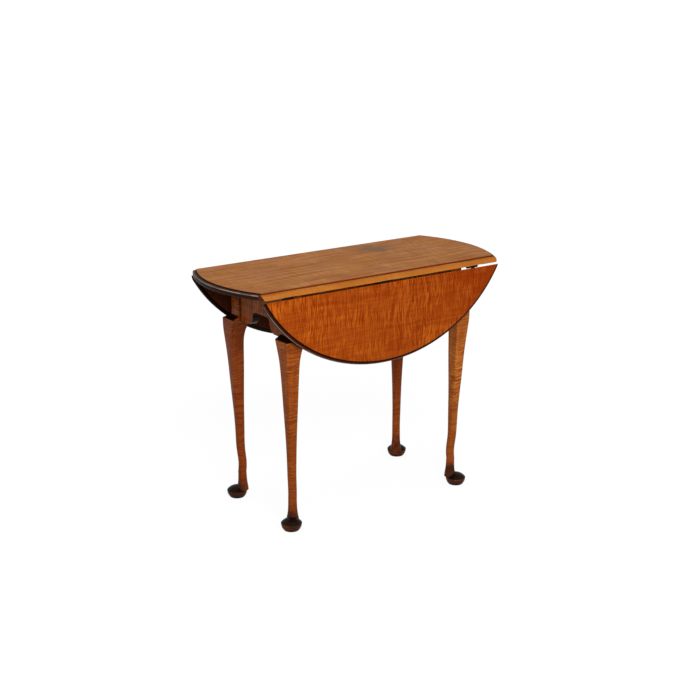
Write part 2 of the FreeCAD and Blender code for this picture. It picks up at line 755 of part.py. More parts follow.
def block_mouth(edge):
    """The mouth of a corner block's screw hole, at its underside."""
    box = edge.BoundBox
    at_underside = is_near(box.ZMax, f"({UNDERSIDE} - corner_block_height)")
    return at_underside and is_near(box.XLength, "block_screw_diameter")


def make_corner_blocks():
    """Glued blocks that brace the corners behind the posts, each with a screw into the board."""
    screws = []
    corners = {
        "rear_right": (1, 1),
        "rear_left": (-1, 1),
        "front_left": (-1, -1),
        "front_right": (1, -1),
    }
    low = f"({UNDERSIDE} - corner_block_height)"
    for name, (i, j) in corners.items():
        body = new_body(f"corner_block_{name}")
        plan = new_sketch(body, f"corner_block_{name}_plan", "XY_Plane", z=low)
        points = [
            (f"({i} * {RAIL_IN_X})", f"({j} * {POST_Y})"),
            (f"({i} * {POST_X})", f"({j} * {POST_Y})"),
            (f"({i} * {POST_X})", f"({j} * {RAIL_IN_Y})"),
            (f"({i} * ({POST_X} - corner_block_reach))", f"({j} * {RAIL_IN_Y})"),
            (f"({i} * {RAIL_IN_X})", f"({j} * ({POST_Y} - corner_block_reach))"),
        ]
        draw_polygon(plan, *points)
        pad(body, plan, "corner_block_height")
        x, y = corner_screw_places()[2 * (i > 0) + (j > 0)]
        hole = new_sketch(body, f"corner_block_{name}_hole", "XY_Plane", z=low)
        draw_circle(hole, x, y, BLOCK_SCREW_RADIUS)
        pocket(body, hole, "corner_block_height", upward=True)
        dress_edges(body, "Chamfer", "block_screw_head", block_mouth)
        set_down(body)
        label = f"corner_screw_{name}"
        screw = make_screw(label, BLOCK_SCREW_RADIUS, "block_screw_head", "block_screw_length")
        tie_place(screw, x, y, low)
        screws.append(screw)
    group("corner_block_screws", screws)


def keeper_screw_places():
    """Where the two screws of each keeper go up into the board."""
    places = []
    out = "(slide_width / 2 + slide_play + keeper_flange / 2)"
    middle = f"({KEEPER_INNER} - keeper_length / 2)"
    for side in (1, -1):
        for x in slide_places().values():
            for way in (-1, 1):
                places.append((f"({side} * ({x} + {way} * {out}))", f"({side} * {middle})"))
    return places


def make_supports():
    """Four pull-out supports, each with its stop peg and the keeper that holds its tail up."""
    screws = []
    for end, side in (("front", 1), ("rear", -1)):
        turn = 0.0 if side > 0 else HALF_TURN
        for name, x in slide_places().items():
            hand = name if side > 0 else {"left": "right", "right": "left"}[name]
            make_slide(f"support_slide_{end}_{hand}", side, x, turn)
            peg = doc.addObject("Part::Cylinder", f"stop_peg_{end}_{hand}")
            peg.Label = peg.Name
            tie(peg, Radius="(stop_peg_diameter / 2)", Height="(slide_height + stop_peg_drop)")
            tie_place(peg, f"({side} * {x})", f"({side} * {PEG_AT_REST})",
                      f"({UNDERSIDE} - {NOTCH_HEIGHT} - stop_peg_drop)")
            pieces.append(peg)
            make_keeper(f"slide_keeper_{end}_{hand}", side, x, turn)
    for n, (x, y) in enumerate(keeper_screw_places()):
        screw = make_screw(f"keeper_screw_{n}", SCREW_RADIUS, "hinge_screw_head", "keeper_screw_length")
        tie_place(screw, x, y, f"({UNDERSIDE} - keeper_screw_seat)")
        screws.append(screw)
    group("keeper_screws", screws)


def make_slide(label, side, x, turn):
    """A support with a rounded nose, a finger groove under it and a hole for the stop peg.

    It is modelled as a front one: its nose is at its origin, and it runs back along +Y.
    """
    body = new_body(label)
    profile = new_sketch(body, f"{label}_profile", "YZ_Plane")
    deep = "finger_groove_depth"
    reach = "sqrt(2 * finger_groove_radius * finger_groove_depth - finger_groove_depth ^ 2)"
    begin = f"(finger_groove_inset - {reach})"
    finish = f"(finger_groove_inset + {reach})"
    hollow = f"({deep} - finger_groove_radius)"
    steps = [
        line_to(begin, "0"),
        arc_to(finish, "0", "finger_groove_inset", hollow, left=False),
        line_to(SLIDE_LENGTH, "0"),
        line_to(SLIDE_LENGTH, "slide_height"),
        line_to("0", "slide_height"),
        line_to("0", "slide_nose_round"),
        arc_to("slide_nose_round", "0", "slide_nose_round", "slide_nose_round"),
    ]
    draw(profile, ("slide_nose_round", "0"), steps)
    pad(body, profile, "slide_width", both_ways=True)
    hole = new_sketch(body, f"{label}_peg_hole", "XY_Plane")
    draw_circle(hole, "0", f"({SLIDE_LENGTH} - stop_peg_inset)", "(stop_peg_diameter / 2)")
    pocket(body, hole, "slide_height", upward=True)
    set_down(body, x=f"({side} * {x})", y=f"({side} * (0 - {RAIL_OUT_Y}))",
             z=f"({UNDERSIDE} - {NOTCH_HEIGHT})", turn=turn)


def make_keeper(label, side, x, turn):
    """A block screwed under the board that a support runs through, and its peg stops against."""
    body = new_body(label)
    low = f"({UNDERSIDE} - {NOTCH_HEIGHT} - slide_play - keeper_floor)"
    start_y = f"({KEEPER_INNER} - keeper_length)"
    block(body, (f"({x} - {KEEPER_HALF})", start_y, low),
          (f"(2 * {KEEPER_HALF})", "keeper_length", f"({UNDERSIDE} - {low})"))
    channel = (f"({x} - slide_width / 2 - slide_play)", f"({start_y} - overrun)", f"({low} + keeper_floor)")
    size = ("(slide_width + 2 * slide_play)", "(keeper_length + 2 * overrun)",
            f"({NOTCH_HEIGHT} + slide_play + overrun)")
    block(body, channel, size, cut=True)
    # Deep counterbored screw holes beside the channel
    out = "(slide_width / 2 + slide_play + keeper_flange / 2)"
    wide = new_sketch(body, f"{label}_wells", "XY_Plane", z=low)
    fine = new_sketch(body, f"{label}_holes", "XY_Plane", z=low)
    for way in (-1, 1):
        place = f"({x} + {way} * {out})"
        middle = f"({start_y} + keeper_length / 2)"
        draw_circle(wide, place, middle, f"({SCREW_RADIUS} + hinge_screw_head)")
        draw_circle(fine, place, middle, SCREW_RADIUS)
    pocket(body, wide, f"({UNDERSIDE} - keeper_screw_seat + hinge_screw_head - {low})", upward=True)
    pocket(body, fine, f"({UNDERSIDE} - {low})", upward=True)
    set_down(body, turn=turn)


def check_and_write():
    """Stop on any failed object or bad shape, then write each sub-part to its own file."""
    doc.recompute()
    for thing in doc.Objects:
        if "Invalid" in thing.State or "Error" in thing.State:
            raise RuntimeError(f"{thing.Label}: {thing.State}")
    os.makedirs("parts", exist_ok=True)
    for piece in pieces:
        shape = piece.Shape
        if shape.isNull() or not shape.isValid() or not shape.Solids:
            raise RuntimeError(f"{piece.Label}: bad shape")
        shape.exportStep(os.path.join("parts", f"{piece.Label}.step"))


def main():
    """Build every sub-part of the table and write it."""
    make_top_board()
    make_leaf("leaf_front", -1)
    make_leaf("leaf_rear", 1)
    make_leg("leg_rear_right", 1, 1, 0.0)
    make_leg("leg_rear_left", -1, 1, QUARTER_TURN)
    make_leg("leg_front_left", -1, -1, HALF_TURN)
    make_leg("leg_front_right", 1, -1, -QUARTER_TURN)
    make_end_apron("end_apron_right", 0.0)
    make_end_apron("end_apron_left", HALF_TURN)
    make_side_rail("side_rail_front", 0.0)
    make_side_rail("side_rail_rear", HALF_TURN)
    make_corner_blocks()
    make_supports()
    make_hinges()
    check_and_write()


main()
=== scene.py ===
"""Dress the drop-leaf end table: maple finishes, hinges, screws and pegs, floor, light and camera.

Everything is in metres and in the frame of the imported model, with the origin on the floor under
the middle of the top, +X along the length and the front leaf on the -Y side.
"""
import logging
import math
from dataclasses import dataclass, field
from enum import Enum
from typing import Any

import bmesh
import bpy
from mathutils import Matrix, Vector


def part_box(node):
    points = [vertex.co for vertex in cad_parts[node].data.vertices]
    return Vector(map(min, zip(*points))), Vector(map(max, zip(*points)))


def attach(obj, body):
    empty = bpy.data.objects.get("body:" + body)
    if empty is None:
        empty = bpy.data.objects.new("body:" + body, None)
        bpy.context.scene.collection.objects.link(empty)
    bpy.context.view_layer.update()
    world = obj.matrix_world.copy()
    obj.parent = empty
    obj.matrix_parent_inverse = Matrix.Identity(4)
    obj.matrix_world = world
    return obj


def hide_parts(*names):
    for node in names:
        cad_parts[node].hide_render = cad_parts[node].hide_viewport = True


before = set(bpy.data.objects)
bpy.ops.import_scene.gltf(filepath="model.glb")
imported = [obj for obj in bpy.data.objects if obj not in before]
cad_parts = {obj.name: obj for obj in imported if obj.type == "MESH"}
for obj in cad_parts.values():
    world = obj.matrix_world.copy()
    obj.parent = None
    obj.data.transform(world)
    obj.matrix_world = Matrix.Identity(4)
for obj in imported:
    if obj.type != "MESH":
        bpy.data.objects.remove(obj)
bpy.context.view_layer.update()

log = logging.getLogger("table")

MM = 0.001
Colour = tuple[float, float, float]
Place = tuple[float, float, float]
Socket = bpy.types.NodeSocket


class Grain(Enum):
    """Which way the long grain of a piece of wood runs, as the order of its own axes."""

    LENGTHWISE = "XYZ"
    ACROSS = "YXZ"
    UPRIGHT = "ZXY"


class Graph:
    """A node tree with short ways to add nodes and join them."""

    def __init__(self, tree: bpy.types.NodeTree) -> None:
        """Take over an empty tree.

        Args:
            tree: The node tree of a material or of a node group.
        """
        self.tree = tree
        self.count = 0

    def add(self, kind: str, sockets: dict[Any, Any] | None = None, **settings: Any) -> bpy.types.Node:
        """Add a node.

        Args:
            kind: The type of the node.
            sockets: What goes into its inputs, each a socket to join or a plain value.
            settings: The node's own settings.

        Returns:
            The new node.
        """
        node = self.tree.nodes.new(kind)
        node.location = (180.0 * (self.count % 12), -220.0 * (self.count // 12))
        self.count += 1
        for name, setting in settings.items():
            setattr(node, name, setting)
        for name, given in (sockets or {}).items():
            self.feed(node.inputs[name], given)
        return node

    def feed(self, socket: Socket, given: Any) -> None:
        """Join a socket to an input, or set the input to a plain value.

        Args:
            socket: The input.
            given: A socket, a number, a vector or a colour.
        """
        if isinstance(given, Socket):
            self.tree.links.new(given, socket)
        elif socket.type == "RGBA" and len(given) == 3:
            socket.default_value = (*given, 1.0)
        else:
            socket.default_value = given

    def math(self, operation: str, first: Any, second: Any = 0.0, clamp: bool = False) -> Socket:
        """Work out one number from two.

        Args:
            operation: The name of the sum.
            first: A socket or a number.
            second: A socket or a number.
            clamp: Whether the result stays from 0 to 1.

        Returns:
            The result.
        """
        node = self.add("ShaderNodeMath", {0: first, 1: second}, operation=operation, use_clamp=clamp)
        return node.outputs[0]

    def spread(self, given: Any, low: Any, high: Any, to_low: float = 0.0, to_high: float = 1.0) -> Socket:
        """Stretch a range of values smoothly onto another.

        Args:
            given: The value.
            low: Where the first range starts.
            high: Where the first range ends.
            to_low: What its start becomes.
            to_high: What its end becomes.

        Returns:
            The stretched value.
        """
        sockets = {"Value": given, "From Min": low, "From Max": high, "To Min": to_low, "To Max": to_high}
        return self.add("ShaderNodeMapRange", sockets, interpolation_type="SMOOTHSTEP").outputs[0]

    def blend(self, share: Any, first: Any, second: Any, way: str = "MIX") -> Socket:
        """Blend two colours.

        Args:
            share: How much of the second colour shows, from 0 to 1.
            first: A socket or a colour.
            second: A socket or a colour.
            way: The blending mode.

        Returns:
            The blended colour.
        """
        node = self.add("ShaderNodeMix", data_type="RGBA", blend_type=way)
        for place, given in ((0, share), (6, first), (7, second)):
            self.feed(node.inputs[place], given)
        return node.outputs[2]

    def noise(self, vector: Any, scale: float, detail: float = 2.0, rough: float = 0.5) -> Socket:
        """Make soft cloudy noise.

        Args:
            vector: Where on the piece.
            scale: How many clouds there are to the metre.
            detail: How many finer layers are added.
            rough: How strong the finer layers are.

        Returns:
            The noise, about 0.5 on average.
        """
        sockets = {"Vector": vector, "Scale": scale, "Detail": detail, "Roughness": rough}
        return self.add("ShaderNodeTexNoise", sockets).outputs["Fac"]

    def scaled(self, vector: Any, scale: Any) -> Socket:
        """Stretch a place along its three axes.

        Args:
            vector: The place.
            scale: Three factors.

        Returns:
            The stretched place.
        """
        node = self.add("ShaderNodeVectorMath", {0: vector, 1: scale}, operation="MULTIPLY")
        return node.outputs[0]

    def moved(self, vector: Any, by: Any) -> Socket:
        """Move a place.

        Args:
            vector: The place.
            by: How far along the three axes.

        Returns:
            The moved place.
        """
        return self.add("ShaderNodeVectorMath", {0: vector, 1: by}, operation="ADD").outputs[0]


class Effect:
    """A surface effect that several finishes share, kept as one node group."""

    label = "Effect"
    takes: dict[str, tuple[str, Any]] = {}
    gives: dict[str, str] = {}

    def group(self) -> bpy.types.NodeTree:
        """Find the effect's node group, or make it the first time.

        Returns:
            The node group.
        """
        found = bpy.data.node_groups.get(self.label)
        if found:
            return found
        tree = bpy.data.node_groups.new(self.label, "ShaderNodeTree")
        kinds = {"number": "NodeSocketFloat", "place": "NodeSocketVector", "colour": "NodeSocketColor"}
        for name, (kind, start) in self.takes.items():
            socket = tree.interface.new_socket(name, in_out="INPUT", socket_type=kinds[kind])
            if start is not None:
                socket.default_value = start
        for name, kind in self.gives.items():
            tree.interface.new_socket(name, in_out="OUTPUT", socket_type=kinds[kind])
        graph = Graph(tree)
        inside = graph.add("NodeGroupInput").outputs
        outside = graph.add("NodeGroupOutput")
        for name, socket in self.wire(graph, inside).items():
            graph.feed(outside.inputs[name], socket)
        return tree

    def wire(self, graph: Graph, inside: Any) -> dict[str, Socket]:
        """Lay out the nodes of the effect.

        Args:
            graph: The empty group.
            inside: The group's inputs, by name.

        Returns:
            What goes to each output, by name.
        """
        raise NotImplementedError

    def place(self, graph: Graph, **sockets: Any) -> dict[str, Socket]:
        """Put the effect into a material.

        Args:
            graph: The material's nodes.
            sockets: What goes into the effect's inputs, with _ for a space.

        Returns:
            The effect's outputs, by name.
        """
        node = graph.add("ShaderNodeGroup", node_tree=self.group())
        for name, given in sockets.items():
            graph.feed(node.inputs[name.replace("_", " ")], given)
        return {socket.name: socket for socket in node.outputs}


class CurlFigure(Effect):
    """The tiger stripes of curly maple: short ripples that lie across the grain."""

    label = "Curl figure"
    takes = {
        "Place": ("place", None),
        "Stripes per metre": ("number", 110.0),
        "Patchiness": ("number", 0.6),
    }
    gives = {"Stripes": "number", "Ripple": "number"}
    bends_per_metre = (5.0, 12.0, 12.0)
    bend_reach = 5.0 * MM
    across_share = 0.11
    drifts_per_metre = (26.0, 16.0, 16.0)
    drift_turns = 5.0
    ripples_per_stripe = 0.62
    even_share = 0.085
    patches_per_metre = (9.0, 15.0, 15.0)

    def wire(self, graph: Graph, inside: Any) -> dict[str, Socket]:
        """Lay out the stripes: noise squeezed along the grain, partly even, and weaker in patches.

        Args:
            graph: The empty group.
            inside: The group's inputs, by name.

        Returns:
            The stripes from dark to light, and a ripple for the bump.
        """
        place = inside["Place"]
        bend = graph.noise(graph.scaled(place, self.bends_per_metre), 1.0, 2.0)
        sway = graph.spread(bend, 0.25, 0.75, -self.bend_reach, self.bend_reach)
        bent = graph.moved(place, graph.add("ShaderNodeCombineXYZ", {"X": sway}).outputs[0])
        across = graph.math("MULTIPLY", inside["Stripes per metre"], self.across_share)
        pull = graph.add("ShaderNodeCombineXYZ", {
            "X": inside["Stripes per metre"], "Y": across, "Z": across})
        pulled = graph.scaled(bent, pull.outputs[0])
        ribbons = graph.noise(pulled, 1.0, 1.5, 0.55)
        along = graph.add("ShaderNodeSeparateXYZ", {0: pulled}).outputs["X"]
        drift = graph.noise(graph.scaled(place, self.drifts_per_metre), 1.0, 2.0)
        steady = graph.math("MULTIPLY", along, self.ripples_per_stripe)
        turns = graph.math("ADD", steady, graph.math("MULTIPLY", drift, self.drift_turns))
        wave = graph.math("SINE", graph.math("MULTIPLY", turns, math.tau))
        even = graph.math("MULTIPLY", wave, self.even_share)
        sharp = graph.spread(graph.math("ADD", ribbons, even), 0.28, 0.72)
        patch = graph.spread(graph.noise(graph.scaled(place, self.patches_per_metre), 1.0, 2.0), 0.35, 0.65)
        weight = graph.math("SUBTRACT", 1.0, graph.math("MULTIPLY", inside["Patchiness"], patch))
        lean = graph.math("MULTIPLY", graph.math("SUBTRACT", sharp, 0.5), weight)
        return {"Stripes": graph.math("ADD", lean, 0.5), "Ripple": graph.math("MULTIPLY", sharp, weight)}


class LongGrain(Effect):
    """The fine lines and flecks that run with the grain."""

    label = "Long grain"
    takes = {"Place": ("place", None), "Lines per metre": ("number", 420.0)}
    gives = {"Lines": "number", "Pores": "number"}
    waves_per_metre = 5.0
    wave_reach = 10.0 * MM
    band_share = 0.22
    bands_along = 3.0
    hairs_along = 14.0
    band_weight = 0.6
    hair_weight = 0.4

    def wire(self, graph: Graph, inside: Any) -> dict[str, Socket]:
        """Lay out the grain: noise drawn out along the grain at two widths.

        Args:
            graph: The empty group.
            inside: The group's inputs, by name.

        Returns:
            The lines from dark to light, and a mask of the short dark pores.
        """
        place = inside["Place"]
        count = inside["Lines per metre"]
        wave = graph.noise(place, self.waves_per_metre, 1.0)
        sway = graph.spread(wave, 0.2, 0.8, -self.wave_reach, self.wave_reach)
        bent = graph.moved(place, graph.add("ShaderNodeCombineXYZ", {"Y": sway}).outputs[0])
        wide = graph.math("MULTIPLY", count, self.band_share)
        broad = graph.add("ShaderNodeCombineXYZ", {"X": self.bands_along, "Y": wide, "Z": wide})
        fine = graph.add("ShaderNodeCombineXYZ", {"X": self.hairs_along, "Y": count, "Z": count})
        bands = graph.noise(graph.scaled(bent, broad.outputs[0]), 1.0, 3.0, 0.6)
        hairs = graph.noise(graph.scaled(bent, fine.outputs[0]), 1.0, 2.0, 0.6)
        weighed = graph.math("MULTIPLY", bands, self.band_weight)
        lines = graph.math("ADD", weighed, graph.math("MULTIPLY", hairs, self.hair_weight))
        return {"Lines": graph.spread(lines, 0.36, 0.64), "Pores": graph.spread(hairs, 0.66, 0.76)}


class Age(Effect):
    """Years of use and painted light: polish, dust and painted shade in the corners, and pale edges from
    handling that also stand for painted highlights.
    """

    label = "Age"
    takes = {
        "Place": ("place", None), "Corner reach": ("number", 6.0 * MM), "Edge reach": ("number", 2.5 * MM)}
    gives = {"Grime and shade": "number", "Rubbed and highlight": "number"}
    patches_per_metre = 70.0

    def wire(self, graph: Graph, inside: Any) -> dict[str, Socket]:
        """Lay out the masks: how closed in a point is, and how near it is to an outer edge.

        Args:
            graph: The empty group.
            inside: The group's inputs, by name.

        Returns:
            A mask of the corners, for dust and painted shade, and a mask of the edges, for wear and painted
            highlight.
        """
        around = graph.add("ShaderNodeAmbientOcclusion", {"Distance": inside["Corner reach"]}, samples=6)
        within = graph.add(
            "ShaderNodeAmbientOcclusion", {"Distance": inside["Edge reach"]}, samples=6, inside=True)
        patch = graph.noise(inside["Place"], self.patches_per_metre, 3.0, 0.6)
        # Closed-in corners are darkened: dust that settles there, and painted shade.
        closed = graph.math("SUBTRACT", 1.0, around.outputs["AO"])
        dusty = graph.spread(patch, 0.2, 0.6, 0.6, 1.0)
        grime_and_shade = graph.math("MULTIPLY", graph.spread(closed, 0.05, 0.6), dusty)
        # Thin edges turn pale: wear, and a painted highlight along the arrises.
        thin = graph.math("SUBTRACT", 1.0, within.outputs["AO"])
        rubbed_and_highlight = graph.math("MULTIPLY", graph.spread(thin, 0.25, 0.6), graph.spread(patch, 0.35, 0.65))
        return {"Grime and shade": grime_and_shade, "Rubbed and highlight": rubbed_and_highlight}


class EndGrain(Effect):
    """Where a surface cuts across the fibres, which drink more stain and turn dark."""

    label = "End grain"
    takes = {"Normal": ("place", None), "Grain": ("place", (1.0, 0.0, 0.0)), "Place": ("place", None)}
    gives = {"Ends": "number"}
    clouds_per_metre = 45.0
    cloud_share = 0.08

    def wire(self, graph: Graph, inside: Any) -> dict[str, Socket]:
        """Lay out the mask from the angle between the surface and the fibres.

        Args:
            graph: The empty group.
            inside: The group's inputs, by name.

        Returns:
            A mask of the end grain.
        """
        facing = graph.add(
            "ShaderNodeVectorMath", {0: inside["Normal"], 1: inside["Grain"]}, operation="DOT_PRODUCT")
        steep = graph.math("ABSOLUTE", facing.outputs["Value"])
        clouds = graph.noise(inside["Place"], self.clouds_per_metre, 2.0)
        cloudy = graph.spread(clouds, 0.2, 0.8, -self.cloud_share, self.cloud_share)
        return {"Ends": graph.spread(graph.math("ADD", steep, cloudy), 0.3, 0.66)}


class Cloud(Effect):
    """A soft blotch at a place on the piece, such as a knot's shadow in the figure."""

    label = "Cloud"
    takes = {
        "Place": ("place", None), "Middle": ("place", (0.0, 0.0, 0.0)), "Reach": ("place", (1.0, 1.0, 1.0))}
    gives = {"Mask": "number"}
    tears_per_metre = 24.0
    tear_share = 0.45

    def wire(self, graph: Graph, inside: Any) -> dict[str, Socket]:
        """Lay out the blotch: an oval that fades outward and is torn by noise.

        Args:
            graph: The empty group.
            inside: The group's inputs, by name.

        Returns:
            The mask of the blotch.
        """
        away = graph.add(
            "ShaderNodeVectorMath", {0: inside["Place"], 1: inside["Middle"]}, operation="SUBTRACT")
        share = graph.add(
            "ShaderNodeVectorMath", {0: away.outputs[0], 1: inside["Reach"]}, operation="DIVIDE")
        length = graph.add("ShaderNodeVectorMath", {0: share.outputs[0]}, operation="LENGTH")
        tears = graph.noise(inside["Place"], self.tears_per_metre, 4.0, 0.6)
        torn = graph.spread(tears, 0.2, 0.8, -self.tear_share, self.tear_share)
        return {"Mask": graph.spread(graph.math("ADD", length.outputs["Value"], torn), 1.05, 0.35)}


class Facing(Effect):
    """The faces of a piece that look one way."""

    label = "Facing"
    takes = {
        "Normal": ("place", None), "Way": ("place", (0.0, 0.0, 1.0)),
        "Start": ("number", 0.4), "Full": ("number", 0.8),
    }
    gives = {"Mask": "number"}

    def wire(self, graph: Graph, inside: Any) -> dict[str, Socket]:
        """Lay out the mask from the angle between the surface and the given way.

        Args:
            graph: The empty group.
            inside: The group's inputs, by name.

        Returns:
            The mask of the faces.
        """
        along = graph.add(
            "ShaderNodeVectorMath", {0: inside["Normal"], 1: inside["Way"]}, operation="DOT_PRODUCT")
        return {"Mask": graph.spread(along.outputs["Value"], inside["Start"], inside["Full"])}


class OvalEdge(Effect):
    """The rim of the oval top, outside the line where its moulding starts."""

    label = "Oval edge"
    takes = {
        "Place": ("place", None), "Across": ("place", (0.0, 1.0, 0.0)), "Start": ("number", 0.0),
        "Stop": ("number", 1.0), "Half length": ("number", 416.5 * MM), "Half width": ("number", 370.5 * MM),
    }
    gives = {"Quirk": "number", "Edge": "number"}
    stop_fade = 2.0 * MM

    def wire(self, graph: Graph, inside: Any) -> dict[str, Socket]:
        """Lay out the mask: how far a point of the raised top would be from its middle.

        Args:
            graph: The empty group.
            inside: The group's inputs, by name.

        Returns:
            The mask of the groove at the moulding's inner line and that of all beyond it.
        """
        far = graph.add(
            "ShaderNodeVectorMath", {0: inside["Place"], 1: inside["Across"]}, operation="DOT_PRODUCT")
        across = graph.math("ADD", far.outputs["Value"], inside["Start"])
        along = graph.add("ShaderNodeSeparateXYZ", {0: inside["Place"]}).outputs["X"]
        shares = graph.add("ShaderNodeCombineXYZ", {
            "X": graph.math("DIVIDE", along, inside["Half length"]),
            "Y": graph.math("DIVIDE", across, inside["Half width"]),
        })
        far = graph.add("ShaderNodeVectorMath", {0: shares.outputs[0]}, operation="LENGTH").outputs["Value"]
        past = graph.math("ADD", inside["Stop"], self.stop_fade)
        runs = graph.spread(graph.math("ABSOLUTE", across), past, inside["Stop"])
        groove = graph.math("MULTIPLY", graph.spread(far, 0.995, 0.999), graph.spread(far, 1.011, 1.005))
        return {
            "Quirk": graph.math("MULTIPLY", groove, runs),
            "Edge": graph.math("MULTIPLY", graph.spread(far, 0.998, 1.004), runs),
        }


class Strip(Effect):
    """A strip along both sides of a piece, between two distances from its middle."""

    label = "Strip"
    takes = {
        "Place": ("place", None), "Across": ("place", (0.0, 1.0, 0.0)),
        "Start": ("number", 0.0), "End": ("number", 1.0),
    }
    gives = {"Mask": "number"}
    fade = 1.0 * MM

    def wire(self, graph: Graph, inside: Any) -> dict[str, Socket]:
        """Lay out the mask, which fades a little at both sides.

        Args:
            graph: The empty group.
            inside: The group's inputs, by name.

        Returns:
            The mask of the strip.
        """
        far = graph.add(
            "ShaderNodeVectorMath", {0: inside["Place"], 1: inside["Across"]}, operation="DOT_PRODUCT")
        away = graph.math("ABSOLUTE", far.outputs["Value"])
        begun = graph.spread(away, graph.math("SUBTRACT", inside["Start"], self.fade), inside["Start"])
        over = graph.spread(away, inside["End"], graph.math("SUBTRACT", inside["End"], self.fade))
        return {"Mask": graph.math("MULTIPLY", begun, over)}


class EasedEdge(Effect):
    """Corners that years of dusting have rounded a little, so that they catch the light."""

    label = "Eased edge"
    takes = {"Radius": ("number", 1.0 * MM)}
    gives = {"Normal": "place"}

    def wire(self, graph: Graph, inside: Any) -> dict[str, Socket]:
        """Lay out the bent normals.

        Args:
            graph: The empty group.
            inside: The group's inputs, by name.

        Returns:
            The normals, which bend round the corners.
        """
        return {"Normal": graph.add("ShaderNodeBevel", {"Radius": inside["Radius"]}, samples=4).outputs[0]}


@dataclass(frozen=True)
class Blotch:
    """A soft dark or pale place in a piece of wood, in the piece's own frame."""

    middle: Place
    reach: Place
    colour: Colour
    strength: float


@dataclass(frozen=True)
class Tint:
    """Another colour on the faces that look one way, such as painted shade on an underside."""

    way: Place
    colour: Colour
    strength: float
    start: float = 0.4
    full: float = 0.8


@dataclass(frozen=True)
class Rim:
    """The polished moulding of the oval, dark with painted shade and lit by a painted highlight along its
    bend, found from a piece's own place in the raised top.
    """

    face: Place
    across: Place
    start: float
    # The rim's dark colour: painted shade on the edge faces and shelf of the moulding.
    colour: Colour = (0.014, 0.0045, 0.003)
    # Near-black painted shade in the groove at the moulding's inner line.
    groove: Colour = (0.004, 0.002, 0.0015)
    # The pale line along the bend of the moulding is a painted highlight.
    wear_and_highlight: Colour = (0.50, 0.38, 0.31)
    stop: float = 1.0
    strength: float = 0.94
    shelf_share: float = 0.85
    wear_and_highlight_share: float = 0.5
    gloss: float = 0.1
    patches_per_metre: float = 24.0


@dataclass(frozen=True)
class Line:
    """A line of another colour along both sides of a piece."""

    across: Place
    start: float
    end: float
    colour: Colour
    strength: float


@dataclass(frozen=True)
class Cut:
    """How one piece was cut and finished: its grain, its place in the log and its own marks, with painted
    light and shade on some of its faces.
    """

    grain: Grain
    offset: Place = (0.0, 0.0, 0.0)
    fade: Place = (0.0, 0.0, 0.0)
    blotches: tuple[Blotch, ...] = ()
    tone: Colour = (1.0, 1.0, 1.0)
    tints: tuple[Tint, ...] = ()
    lines: tuple[Line, ...] = ()
    rim: Rim | None = None


